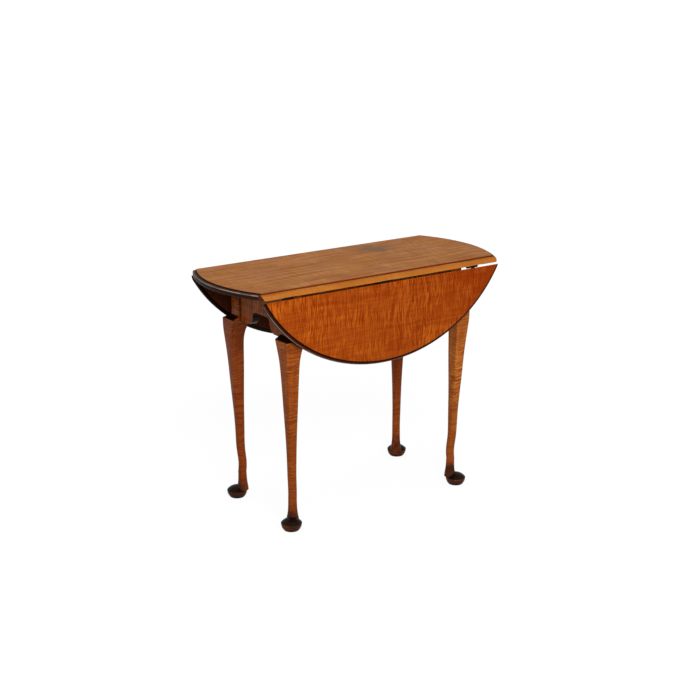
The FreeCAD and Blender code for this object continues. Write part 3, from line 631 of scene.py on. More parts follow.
@dataclass(frozen=True)
class Maple:
    """Curly maple under a stain and an old hand-polished finish."""

    dark: Colour
    middle: Colour
    light: Colour
    red: Colour
    end: Colour
    grime_and_shade: Colour
    wear_and_highlight: Colour
    stripes_per_metre: float = 150.0
    stripe_strength: float = 0.7
    patchiness: float = 0.6
    line_strength: float = 0.35
    red_share: float = 0.5
    end_share: float = 0.9
    wear_and_highlight_share: float = 0.45
    pore_share: float = 0.25
    grime_and_shade_share: float = 0.85
    clouds_per_metre: Place = (9.0, 15.0, 15.0)
    smudges_per_metre: float = 16.0
    gloss: float = 0.3
    roughness: float = 0.36
    shine: float = 0.2
    eased: float = 1.0 * MM
    stripe_depth: float = 0.04 * MM
    pore_depth: float = 0.03 * MM

    def material(self, name: str, cut: Cut) -> bpy.types.Material:
        """Make the material of one piece.

        Args:
            name: The name of the material.
            cut: How the piece was cut and finished.

        Returns:
            The material.
        """
        material = bpy.data.materials.new(name)
        material.use_nodes = True
        material.node_tree.nodes.clear()
        graph = Graph(material.node_tree)
        own = graph.add("ShaderNodeTexCoord").outputs
        split = graph.add("ShaderNodeSeparateXYZ", {0: own["Object"]}).outputs
        along = graph.add("ShaderNodeCombineXYZ", {n: split[axis] for n, axis in enumerate(cut.grain.value)})
        place = graph.moved(along.outputs[0], cut.offset)
        curl = CurlFigure().place(
            graph, Place=place, Stripes_per_metre=self.stripes_per_metre, Patchiness=self.patchiness)
        lines = LongGrain().place(graph, Place=place)
        wear_and_shading = Age().place(graph, Place=place)

        colour = self.stain(graph, self.figure(graph, curl["Stripes"], lines["Lines"]))
        colour = self.deepen(graph, colour, own["Object"], place, cut.fade)
        colour = graph.blend(1.0, colour, cut.tone, "MULTIPLY")
        colour = self.mark(graph, colour, own, cut)
        colour = self.weather(graph, colour, own["Normal"], place, lines["Pores"], wear_and_shading, cut.grain)
        polish = 0.0
        if cut.rim:
            colour, polish = self.mould(graph, colour, own, cut.rim)
        self.shade(graph, place, colour, curl["Ripple"], lines, wear_and_shading, polish)
        return material

    def mould(self, graph: Graph, colour: Socket, own: Any, rim: Rim) -> tuple[Socket, Socket]:
        """Finish the moulded rim: painted shade, near black in its groove and dark on its round, and a
        painted highlight along its bend.

        Args:
            graph: The material's nodes.
            colour: The colour so far.
            own: The piece's own coordinates.
            rim: The rim.

        Returns:
            The colour with its rim, and how much the rim is polished.
        """
        masks = OvalEdge().place(
            graph, Place=own["Object"], Across=rim.across, Start=rim.start, Stop=rim.stop)
        turned = Facing().place(graph, Normal=own["Normal"], Way=rim.face, Start=0.95, Full=0.7)["Mask"]
        near = Facing().place(graph, Normal=own["Normal"], Way=rim.face, Start=0.42, Full=0.54)["Mask"]
        far = Facing().place(graph, Normal=own["Normal"], Way=rim.face, Start=0.80, Full=0.66)["Mask"]
        # Painted shade on the faces of the rim that turn from the face of the piece, and on its shelf.
        side = graph.math("MULTIPLY", masks["Edge"], turned)
        shelf = graph.math("MULTIPLY", masks["Edge"], rim.shelf_share)
        painted_shade_cover = graph.math("MAXIMUM", shelf, graph.math("MULTIPLY", side, rim.strength))
        colour = graph.blend(painted_shade_cover, colour, rim.colour)
        # A painted highlight along the bend of the moulding, broken into patches.
        bend = graph.math("MULTIPLY", masks["Edge"], graph.math("MULTIPLY", near, far))
        patch = graph.noise(own["Object"], rim.patches_per_metre, 3.0, 0.6)
        patch = graph.spread(patch, 0.3, 0.6, 0.3, 1.0)
        wear_and_highlight = graph.math("MULTIPLY", graph.math("MULTIPLY", bend, patch), rim.wear_and_highlight_share)
        colour = graph.blend(wear_and_highlight, colour, rim.wear_and_highlight)
        # Near-black painted shade in the groove.
        colour = graph.blend(graph.math("MULTIPLY", masks["Quirk"], rim.strength), colour, rim.groove)
        return colour, graph.math("MULTIPLY", side, rim.gloss)

    def mark(self, graph: Graph, colour: Socket, own: Any, cut: Cut) -> Socket:
        """Add the piece's blotches and lines and the other colour of some of its faces; the tints and the
        board's line carry painted shade.

        Args:
            graph: The material's nodes.
            colour: The colour so far.
            own: The piece's own coordinates.
            cut: How the piece was cut and finished.

        Returns:
            The marked colour.
        """
        for blotch in cut.blotches:
            mask = Cloud().place(graph, Place=own["Object"], Middle=blotch.middle, Reach=blotch.reach)["Mask"]
            colour = graph.blend(graph.math("MULTIPLY", mask, blotch.strength), colour, blotch.colour)
        for tint in cut.tints:
            mask = Facing().place(
                graph, Normal=own["Normal"], Way=tint.way, Start=tint.start, Full=tint.full)["Mask"]
            colour = graph.blend(graph.math("MULTIPLY", mask, tint.strength), colour, tint.colour)
        for line in cut.lines:
            mask = Strip().place(
                graph, Place=own["Object"], Across=line.across, Start=line.start, End=line.end)["Mask"]
            colour = graph.blend(graph.math("MULTIPLY", mask, line.strength), colour, line.colour)
        return colour

    def weather(self, graph: Graph, colour: Socket, normal: Socket, place: Socket, pores: Socket,
                wear_and_shading: dict[str, Socket], grain: Grain) -> Socket:
        """Darken pores and end grain, darken the corners with dust and painted shade, and let the pale edges
        show as wear and painted highlight.

        Args:
            graph: The material's nodes.
            colour: The colour so far.
            normal: Which way the surface looks, in the piece's own frame.
            place: The place in the log.
            pores: The mask of the pores.
            wear_and_shading: The masks of the corners, for dust and painted shade, and of the edges, for wear
                and painted highlight.
            grain: Which way the long grain runs.

        Returns:
            The weathered colour.
        """
        fibres = {"X": (1.0, 0.0, 0.0), "Y": (0.0, 1.0, 0.0), "Z": (0.0, 0.0, 1.0)}[grain.value[0]]
        ends = EndGrain().place(graph, Normal=normal, Grain=fibres, Place=place)["Ends"]
        colour = graph.blend(graph.math("MULTIPLY", pores, self.pore_share), colour, self.dark)
        colour = graph.blend(graph.math("MULTIPLY", ends, self.end_share), colour, self.end)
        # Dark corners: dust, and painted shade.
        colour = graph.blend(graph.math("MULTIPLY", wear_and_shading["Grime and shade"], self.grime_and_shade_share), colour, self.grime_and_shade)
        # Pale edges: wear, and a painted highlight along the arrises.
        return graph.blend(graph.math("MULTIPLY", wear_and_shading["Rubbed and highlight"], self.wear_and_highlight_share), colour, self.wear_and_highlight)

    def figure(self, graph: Graph, stripes: Socket, lines: Socket) -> Socket:
        """Add the stripes and the grain lines up into one value.

        Args:
            graph: The material's nodes.
            stripes: The curl, from dark to light.
            lines: The grain lines, from dark to light.

        Returns:
            How light the wood is, about 0.5 on average.
        """
        curl = graph.math("MULTIPLY", graph.math("SUBTRACT", stripes, 0.5), self.stripe_strength)
        grain = graph.math("MULTIPLY", graph.math("SUBTRACT", lines, 0.5), self.line_strength)
        return graph.math("ADD", graph.math("ADD", curl, grain), 0.5, clamp=True)

    def stain(self, graph: Graph, figure: Socket) -> Socket:
        """Turn the lightness of the wood into the colours of the stain.

        Args:
            graph: The material's nodes.
            figure: How light the wood is.

        Returns:
            The stained colour.
        """
        ramp = graph.add("ShaderNodeValToRGB", {"Fac": figure})
        stops = ramp.color_ramp.elements
        stops[0].position, stops[0].color = 0.12, (*self.dark, 1.0)
        stops[1].position, stops[1].color = 0.88, (*self.light, 1.0)
        between = stops.new(0.5)
        between.color = (*self.middle, 1.0)
        return ramp.outputs["Color"]

    def deepen(self, graph: Graph, colour: Socket, own: Socket, place: Socket, fade: Place) -> Socket:
        """Let the stain go redder in clouds, and along the piece where it fades.

        Args:
            graph: The material's nodes.
            colour: The colour so far.
            own: The place in the piece's own frame.
            place: The place in the log.
            fade: How fast the red deepens along each axis, per metre.

        Returns:
            The colour with its red clouds.
        """
        clouds = graph.noise(graph.scaled(place, self.clouds_per_metre), 1.0, 3.0, 0.62)
        drift = graph.add("ShaderNodeVectorMath", {0: own, 1: fade}, operation="DOT_PRODUCT").outputs["Value"]
        share = graph.spread(graph.math("ADD", clouds, drift), 0.3, 0.8)
        return graph.blend(graph.math("MULTIPLY", share, self.red_share), colour, self.red, "MULTIPLY")

    def shade(self, graph: Graph, place: Socket, colour: Socket, ripple: Socket,
              lines: dict[str, Socket], wear_and_shading: dict[str, Socket], polish: Any) -> None:
        """Join colour, gloss and relief to the surface.

        Args:
            graph: The material's nodes.
            place: The place in the log.
            colour: The finished colour.
            ripple: The relief of the curl.
            lines: The grain's outputs.
            wear_and_shading: The masks of the corners, for dust and painted shade, and of the edges, for wear
                and painted highlight.
            polish: How much more the surface is polished at its rim.
        """
        smudges = graph.noise(place, self.smudges_per_metre, 3.0, 0.6)
        dull = graph.spread(smudges, 0.3, 0.7, self.roughness - 0.06, self.roughness + 0.07)
        dull = graph.math("ADD", dull, graph.math("MULTIPLY", wear_and_shading["Grime and shade"], 0.2), clamp=True)
        coat = graph.math("MULTIPLY", graph.spread(smudges, 0.25, 0.75, 1.0, 0.7), self.gloss)
        coat = graph.math("MULTIPLY", coat, graph.math("SUBTRACT", 1.0, wear_and_shading["Grime and shade"]))
        coat = graph.math("MAXIMUM", coat, polish)
        eased = EasedEdge().place(graph, Radius=self.eased)["Normal"]
        curl = graph.add("ShaderNodeBump", {
            "Height": ripple, "Distance": self.stripe_depth, "Normal": eased})
        pores = graph.add("ShaderNodeBump", {
            "Height": lines["Lines"], "Distance": self.pore_depth, "Normal": curl.outputs[0]})
        surface = graph.add("ShaderNodeBsdfPrincipled", {
            "Base Color": colour, "Roughness": dull, "Coat Weight": coat, "Normal": pores.outputs[0],
            "Specular IOR Level": self.shine, "Coat Roughness": 0.16, "Coat IOR": 1.45})
        graph.add("ShaderNodeOutputMaterial", {"Surface": surface.outputs[0]})


@dataclass(frozen=True)
class Metal:
    """Forged or turned metal, darkened in its corners by the years and by painted shade, and bright where it
    rubs and where a highlight is painted on its edges.
    """

    dark: Colour
    light: Colour
    rubbed_and_highlight: Colour
    roughness: float = 0.45
    pit_depth: float = 0.12 * MM
    pits_per_metre: float = 900.0
    blotches_per_metre: float = 220.0
    corner_reach: float = 1.5 * MM
    edge_reach: float = 0.8 * MM

    def material(self, name: str) -> bpy.types.Material:
        """Make the metal's material.

        Args:
            name: The name of the material.

        Returns:
            The material.
        """
        material = bpy.data.materials.new(name)
        material.use_nodes = True
        material.node_tree.nodes.clear()
        graph = Graph(material.node_tree)
        place = graph.add("ShaderNodeTexCoord").outputs["Object"]
        wear_and_shading = Age().place(graph, Place=place, Corner_reach=self.corner_reach, Edge_reach=self.edge_reach)
        blotch = graph.spread(graph.noise(place, self.blotches_per_metre, 4.0, 0.65), 0.3, 0.7)
        pits = graph.noise(place, self.pits_per_metre, 3.0, 0.6)
        colour = graph.blend(blotch, self.dark, self.light)
        # Bright edges: wear, and a painted highlight.
        colour = graph.blend(graph.math("MULTIPLY", wear_and_shading["Rubbed and highlight"], 0.8), colour, self.rubbed_and_highlight)
        # Dark corners: dirt, and painted shade.
        colour = graph.blend(graph.math("MULTIPLY", wear_and_shading["Grime and shade"], 0.7), colour, self.dark)
        dull = graph.spread(blotch, 0.0, 1.0, self.roughness + 0.12, self.roughness - 0.06)
        dull = graph.math("ADD", dull, graph.math("MULTIPLY", wear_and_shading["Rubbed and highlight"], -0.12), clamp=True)
        relief = graph.add("ShaderNodeBump", {"Height": pits, "Distance": self.pit_depth, "Strength": 0.6})
        surface = graph.add("ShaderNodeBsdfPrincipled", {
            "Base Color": colour, "Roughness": dull, "Normal": relief.outputs[0], "Metallic": 1.0})
        graph.add("ShaderNodeOutputMaterial", {"Surface": surface.outputs[0]})
        return material


# The board's colours, kept by its up face, are paler and yellower than the leaves'; part of this is a painted
# sheen.
TOP_MAPLE = Maple(
    dark=(0.225, 0.070, 0.010), middle=(0.325, 0.118, 0.022), light=(0.42, 0.170, 0.038),
    red=(0.80, 0.62, 0.50), end=(0.030, 0.009, 0.005), grime_and_shade=(0.020, 0.006, 0.003),
    wear_and_highlight=(0.42, 0.17, 0.05), stripes_per_metre=200.0, stripe_strength=0.4, line_strength=0.7,
    wear_and_highlight_share=0.25, gloss=0.01, roughness=0.42, shine=0.012)
LEAF_MAPLE = Maple(
    dark=(0.28, 0.041, 0.002), middle=(0.41, 0.081, 0.004), light=(0.54, 0.134, 0.009),
    red=(0.62, 0.42, 0.70), end=(0.030, 0.009, 0.005), grime_and_shade=(0.020, 0.006, 0.003),
    wear_and_highlight=(0.50, 0.15, 0.03), stripes_per_metre=270.0, stripe_strength=0.95, line_strength=0.3,
    red_share=0.7, gloss=0.01, roughness=0.38, shine=0.015)
# The frame's near-black end-grain colour also darkens the tops of the knees, as painted shade under the
# board.
FRAME_MAPLE = Maple(
    dark=(0.14, 0.023, 0.003), middle=(0.29, 0.066, 0.007), light=(0.42, 0.115, 0.016),
    red=(0.60, 0.38, 0.40), end=(0.008, 0.003, 0.002), grime_and_shade=(0.010, 0.003, 0.002),
    wear_and_highlight=(0.55, 0.22, 0.08), stripes_per_metre=200.0, stripe_strength=0.72, patchiness=0.65, end_share=0.97,
    line_strength=0.25, gloss=0.08, roughness=0.34, shine=0.03)
INNER_MAPLE = Maple(
    dark=(0.16, 0.070, 0.022), middle=(0.27, 0.135, 0.050), light=(0.38, 0.215, 0.090),
    red=(0.80, 0.66, 0.55), end=(0.13, 0.060, 0.022), grime_and_shade=(0.05, 0.025, 0.012),
    wear_and_highlight=(0.45, 0.28, 0.13), stripes_per_metre=120.0, stripe_strength=0.4, line_strength=0.8,
    red_share=0.6, end_share=0.6, gloss=0.0, roughness=0.62, shine=0.25)
HINGE_IRON = Metal(dark=(0.022, 0.019, 0.017), light=(0.060, 0.050, 0.043), rubbed_and_highlight=(0.30, 0.27, 0.24))
PIN_STEEL = Metal(
    dark=(0.10, 0.088, 0.075), light=(0.24, 0.22, 0.20), rubbed_and_highlight=(0.55, 0.53, 0.50), roughness=0.34,
    pit_depth=0.03 * MM)
SCREW_STEEL = Metal(
    dark=(0.075, 0.062, 0.050), light=(0.20, 0.18, 0.155), rubbed_and_highlight=(0.50, 0.48, 0.44), roughness=0.38,
    pit_depth=0.04 * MM)


def paint(node: str, material: bpy.types.Material) -> None:
    """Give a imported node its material.

    Args:
        node: The name of the node.
        material: The material.
    """
    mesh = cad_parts[node].data
    mesh.materials.clear()
    mesh.materials.append(material)
    log.info("%s is dressed in %s", node, material.name)


class Turner:
    """A mesh of round and threaded pieces, gathered before it becomes one object."""

    def __init__(self) -> None:
        """Start with an empty mesh."""
        self.mesh = bmesh.new()

    def rings(self, rings: list[list[Vector]], stand: Matrix) -> None:
        """Skin a row of rings of the same number of points and close both ends.

        Args:
            rings: The rings, each a list of points.
            stand: Where the piece stands.
        """
        made = [[self.mesh.verts.new(stand @ point) for point in ring] for ring in rings]
        count = len(made[0])
        for low, high in zip(made, made[1:]):
            for n in range(count):
                after = (n + 1) % count
                self.mesh.faces.new((low[n], low[after], high[after], high[n]))
        self.mesh.faces.new(made[0][::-1])
        self.mesh.faces.new(made[-1])

    def lathe(self, profile: list[tuple[float, float]], sides: int, stand: Matrix) -> None:
        """Turn a profile about its own Z axis.

        Args:
            profile: Pairs of radius and height, from the bottom up.
            sides: How many sides the round has.
            stand: Where the piece stands.
        """
        angles = [math.tau * n / sides for n in range(sides)]
        self.rings(
            [[Vector((r * math.cos(a), r * math.sin(a), z)) for a in angles] for r, z in profile], stand)

    def finish(self, name: str, body: str, material: bpy.types.Material, nodes: list[str],
               smooth: float = math.radians(35.0)) -> bpy.types.Object:
        """Make one object of all that was gathered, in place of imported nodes.

        Args:
            name: The object's name.
            body: The body that it rides on.
            material: The material.
            nodes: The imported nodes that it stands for.
            smooth: The angle below which neighbouring faces blend.

        Returns:
            The new object.
        """
        bmesh.ops.recalc_face_normals(self.mesh, faces=self.mesh.faces)
        for face in self.mesh.faces:
            face.smooth = True
        for edge in self.mesh.edges:
            edge.smooth = len(edge.link_faces) == 2 and edge.calc_face_angle() < smooth
        data = bpy.data.meshes.new(name)
        self.mesh.to_mesh(data)
        self.mesh.free()
        data.materials.append(material)
        piece = bpy.data.objects.new(name, data)
        bpy.context.scene.collection.objects.link(piece)
        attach(piece, body)
        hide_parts(*nodes)
        log.info("%s stands for %s and rides on %s", name, ", ".join(nodes), body)
        return piece


@dataclass
class WoodScrew:
    """A slotted countersunk wood screw with a cut thread and a gimlet point."""

    radius: float
    head: float
    length: float
    sides: int = 16
    slot_share: float = 0.17
    slot_depth_share: float = 0.55
    thread_start_share: float = 0.35
    thread_cut_share: float = 0.28
    pitch_share: float = 0.62
    point_share: float = 0.9

    def stand(self, foot: Vector, up: Vector, turn: float) -> Matrix:
        """Say where the screw stands.

        Args:
            foot: The middle of the flat of its head.
            up: Which way the screw points.
            turn: How far its slot has turned.

        Returns:
            The screw's place.
        """
        spin = up.to_track_quat("Z", "X").to_matrix().to_4x4()
        return Matrix.Translation(foot) @ spin @ Matrix.Rotation(turn, 4, "Z")

    def cut(self, turner: Turner, stand: Matrix) -> None:
        """Add the screw to a mesh: a slotted head, then the shank with its thread.

        Args:
            turner: The mesh that gathers the screws.
            stand: Where the screw stands.
        """
        mesh = turner.mesh
        wide = self.radius + self.head
        half = wide * self.slot_share
        deep = self.head * self.slot_depth_share
        floor_wide = wide - deep
        rim_angle = math.asin(half / wide)
        floor_angle = math.asin(half / floor_wide)
        outline: list[tuple[float, float, float]] = []
        for start in (0.0, math.pi):
            outline.append((floor_wide, start - floor_angle, deep))
            outline.append((floor_wide, start + floor_angle, deep))
            span = math.pi - 2.0 * rim_angle
            arcs = self.sides // 2
            outline += [(wide, start + rim_angle + span * n / arcs, 0.0) for n in range(arcs + 1)]
        ring = [mesh.verts.new(stand @ Vector((r * math.cos(a), r * math.sin(a), z))) for r, a, z in outline]
        half_count = len(ring) // 2
        for first in (0, half_count):
            mesh.faces.new([ring[first + n] for n in range(2, half_count)])
        far = [ring[half_count + 1], ring[half_count]]
        mesh.faces.new((ring[0], ring[1], far[1], far[0]))
        mesh.faces.new((ring[1], ring[2], ring[half_count - 1], far[1]))
        mesh.faces.new((far[0], ring[half_count + 2], ring[-1], ring[0]))
        angles = [a for _, a, _ in outline]
        below = [[mesh.verts.new(stand @ Vector((r * math.cos(a), r * math.sin(a), z)))
                  for r, a, z in row] for row in self.shank(angles)]
        count = len(ring)
        for upper, lower in zip([ring, *below], below):
            for n in range(count):
                after = (n + 1) % count
                mesh.faces.new((upper[n], upper[after], lower[after], lower[n]))
        mesh.faces.new(below[-1])

    def shank(self, angles: list[float]) -> list[list[tuple[float, float, float]]]:
        """Work out the rings of the shank, from under the head to the point.

        Args:
            angles: The angles of the points of each ring.

        Returns:
            The rings, each a list of radius, angle and height.
        """
        pitch = self.radius * self.pitch_share
        start = self.head + (self.length - self.head) * self.thread_start_share
        point = self.length - 2.0 * self.radius * self.point_share
        rings = [[(self.radius, a, self.head) for a in angles], [(self.radius, a, start) for a in angles]]
        steps = int((self.length - start) / pitch * 3.0)
        for step in range(1, steps + 1):
            height = start + (self.length - start) * step / steps
            taper = 1.0 if height < point else max(0.12, (self.length - height) / (self.length - point))
            row = []
            for angle in angles:
                phase = (height / pitch - angle / math.tau) % 1.0
                crest = 1.0 - abs(2.0 * phase - 1.0)
                radius = self.radius * (1.0 - self.thread_cut_share * (1.0 - crest)) * taper
                row.append((radius, angle, height))
            rings.append(row)
        return rings


@dataclass(frozen=True)
class Turns:
    """How far the screws of a row are turned, in radians: neighbours in a row point differently."""

    first: float
    step: float
    per_metre: float

    def at(self, count: int, x: float) -> float:
        """Give the turn of one screw.

        Args:
            count: Its number in the row.
            x: How far along the table the screw or its hinge is, in metres.

        Returns:
            The turn in radians.
        """
        return self.first + self.step * count + self.per_metre * x


@dataclass
class RuleJointTop:
    """The fixed centre board and the two hanging leaves."""

    clouds: tuple[Blotch, ...] = (
        Blotch((0.158, 0.085, 0.66), (0.060, 0.055, 0.2), (0.14, 0.080, 0.040), 0.8),
        Blotch((0.128, 0.132, 0.66), (0.060, 0.045, 0.2), (0.20, 0.075, 0.020), 0.6),
    )
    moulding_stop: float = 162.0 * MM
    hang_way: Place = (0.0, 0.0, -1.0)
    hang_start: float = 802.0 * MM
    # Painted shade for the underside of the board and the inner faces of the leaves.
    shade: Colour = (0.040, 0.013, 0.006)
    gold: Colour = (0.42, 0.125, 0.014)
    corner: Blotch = Blotch((0.37, -0.184, 0.60), (0.17, 0.2, 0.13), (0.25, 0.027, 0.001), 0.75)
    # A dark red line along both long edges of the board, on the fillet of the moulding; it is partly painted
    # shade.
    quirk: Line = Line((0.0, 1.0, 0.0), 161.5 * MM, 167.0 * MM, (0.20, 0.022, 0.001), 0.85)

    def dress(self) -> None:
        """Give board and leaves their finishes, with the darker cloud near the board's right end."""
        # The faces that turn from the top take the gold; the paler colour left on the up face is partly a
        # painted sheen.
        sides = Tint((0.0, 0.0, 1.0), self.gold, 0.6, start=0.97, full=0.8)
        # Painted shade on the underside of the board.
        below = Tint((0.0, 0.0, -1.0), self.shade, 0.85)
        moulding = Rim((0.0, 0.0, 1.0), (0.0, 1.0, 0.0), 0.0, stop=self.moulding_stop)
        board = Cut(Grain.LENGTHWISE, (0.3, 0.1, 0.0), blotches=self.clouds, tints=(sides, below),
                    lines=(self.quirk,), rim=moulding)
        paint("top_board", TOP_MAPLE.material("Board maple", board))
        front = Cut(Grain.LENGTHWISE, (1.3, 0.4, 0.2), fade=(0.35, 0.0, 0.4), blotches=(self.corner,),
                    # Painted shade on the inner face of the front leaf.
                    tints=(Tint((0.0, 1.0, 0.0), self.shade, 0.85),),
                    rim=Rim((0.0, -1.0, 0.0), self.hang_way, self.hang_start))
        paint("leaf_front", LEAF_MAPLE.material("Front leaf maple", front))
        rear = Cut(Grain.LENGTHWISE, (2.1, 1.4, 0.7), fade=(0.2, 0.0, 0.3),
                   # Painted shade on the inner face of the rear leaf.
                   tints=(Tint((0.0, -1.0, 0.0), self.shade, 0.85),),
                   rim=Rim((0.0, 1.0, 0.0), self.hang_way, self.hang_start))
        paint("leaf_rear", LEAF_MAPLE.material("Rear leaf maple", rear))


@dataclass
class CabrioleFrame:
    """The four legs, the rails between them and the blocks that brace their corners."""

    corners: tuple[str, ...] = ("front_left", "front_right", "rear_left", "rear_right")
    foot_middle: float = 27.0 * MM
    foot_reach: Place = (0.080, 0.080, 0.090)
    ankle_height: float = 50.0 * MM
    ankle_reach: Place = (0.20, 0.20, 0.34)
    foot_stain: Colour = (0.030, 0.009, 0.004)
    ankle_stain: Colour = (0.20, 0.034, 0.004)
    # A colour factor for each leg, in the order of the corners: the rear left leg is darkened as painted
    # shade under the table, and the front right leg is paler and yellower.
    leg_tones_with_painted_shade: tuple[Colour, ...] = (
        (1.05, 1.05, 1.0), (1.45, 1.8, 2.2), (0.88, 0.78, 0.8), (1.0, 0.92, 0.9))
    screw_turns: tuple[float, ...] = (0.7, 1.1, 1.8, 2.2)
    block_screw: WoodScrew = field(default_factory=lambda: WoodScrew(2.0 * MM, 2.0 * MM, 46.0 * MM))

    def dress(self) -> None:
        """Give every leg, rail and block its own cut of the wood."""
        for n, corner in enumerate(self.corners):
            low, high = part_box(f"leg_{corner}")
            foot_x = low.x + self.foot_middle if low.x < 0 else high.x - self.foot_middle
            foot_y = low.y + self.foot_middle if low.y < 0 else high.y - self.foot_middle
            dark = Blotch((foot_x, foot_y, 0.0), self.foot_reach, self.foot_stain, 0.92)
            deep = Blotch((foot_x, foot_y, self.ankle_height), self.ankle_reach, self.ankle_stain, 0.6)
            leg = Cut(Grain.UPRIGHT, (0.4 + 0.7 * n, 0.3 * n, 0.9), blotches=(deep, dark),
                      # Each leg's colour factor; the rear left leg's is painted shade.
                      tone=self.leg_tones_with_painted_shade[n])
            paint(f"leg_{corner}", FRAME_MAPLE.material(f"Leg maple {corner}", leg))
        for n, end in enumerate(("left", "right")):
            apron = FRAME_MAPLE.material(f"End apron maple {end}", Cut(Grain.ACROSS, (1.7 + n, 0.8, 0.1)))
            paint(f"end_apron_{end}", apron)
        for n, side in enumerate(("front", "rear")):
            rail = FRAME_MAPLE.material(f"Side rail maple {side}", Cut(Grain.LENGTHWISE, (3.1 + n, 0.2, 0.5)))
            paint(f"side_rail_{side}", rail)
        block = INNER_MAPLE.material("Corner block maple", Cut(Grain.UPRIGHT, (0.2, 0.9, 0.4)))
        for corner in self.corners:
            paint(f"corner_block_{corner}", block)

    def build_screws(self) -> None:
        """Make the screws that go up through the corner blocks into the board."""
        turner = Turner()
        low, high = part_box("corner_block_screws")
        wide = self.block_screw.radius + self.block_screw.head
        for n, x in enumerate((low.x + wide, high.x - wide)):
            for m, y in enumerate((low.y + wide, high.y - wide)):
                turn = self.screw_turns[2 * n + m]
                stand = self.block_screw.stand(Vector((x, y, low.z)), Vector((0, 0, 1)), turn)
                self.block_screw.cut(turner, stand)
        turner.finish("corner_block_wood_screws", "table_frame",
                      SCREW_STEEL.material("Block screw steel"), ["corner_block_screws"])


@dataclass
class LeafSupports:
    """The pull-out supports with their stop pegs, and the keepers that hold their tails up."""

    corners: tuple[str, ...] = ("front_left", "front_right", "rear_left", "rear_right")
    peg_sides: int = 8
    peg_chamfer: float = 1.0 * MM
    screw_inset: float = 5.5 * MM
    screw_turns: Turns = Turns(0.3, 0.9, 2.0)
    keeper_screw: WoodScrew = field(default_factory=lambda: WoodScrew(1.5 * MM, 1.4 * MM, 26.0 * MM))

    def dress(self) -> None:
        """Give supports and keepers the plain inner wood."""
        support = INNER_MAPLE.material("Support maple", Cut(Grain.ACROSS, (0.6, 0.1, 0.8)))
        keeper = INNER_MAPLE.material("Keeper maple", Cut(Grain.LENGTHWISE, (2.6, 0.5, 0.3)))
        for corner in self.corners:
            paint(f"support_slide_{corner}", support)
            paint(f"slide_keeper_{corner}", keeper)

    def build_pegs(self) -> None:
        """Make the whittled stop peg of each support, eight-sided with eased ends."""
        wood = INNER_MAPLE.material("Peg maple", Cut(Grain.UPRIGHT, (1.1, 1.9, 0.2)))
        for corner in self.corners:
            low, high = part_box(f"stop_peg_{corner}")
            radius = (high.x - low.x) / 2
            tall = high.z - low.z
            eased = radius - self.peg_chamfer
            profile = [
                (eased, 0.0), (radius, self.peg_chamfer), (radius, tall - self.peg_chamfer), (eased, tall)]
            turner = Turner()
            stand = Matrix.Translation(((low.x + high.x) / 2, (low.y + high.y) / 2, low.z))
            turner.lathe(profile, self.peg_sides, stand)
            turner.finish(f"whittled_peg_{corner}", f"slide_{corner}", wood,
                          [f"stop_peg_{corner}"], smooth=math.radians(10.0))

    def build_screws(self) -> None:
        """Make the two screws of each keeper, deep in their wells."""
        turner = Turner()
        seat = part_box("keeper_screws")[0].z
        for corner in self.corners:
            low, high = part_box(f"slide_keeper_{corner}")
            for n, x in enumerate((low.x + self.screw_inset, high.x - self.screw_inset)):
                foot = Vector((x, (low.y + high.y) / 2, seat))
                turn = self.screw_turns.at(n, x)
                stand = self.keeper_screw.stand(foot, Vector((0, 0, 1)), turn)
                self.keeper_screw.cut(turner, stand)
        turner.finish("keeper_wood_screws", "table_frame",
                      SCREW_STEEL.material("Keeper screw steel"), ["keeper_screws"])


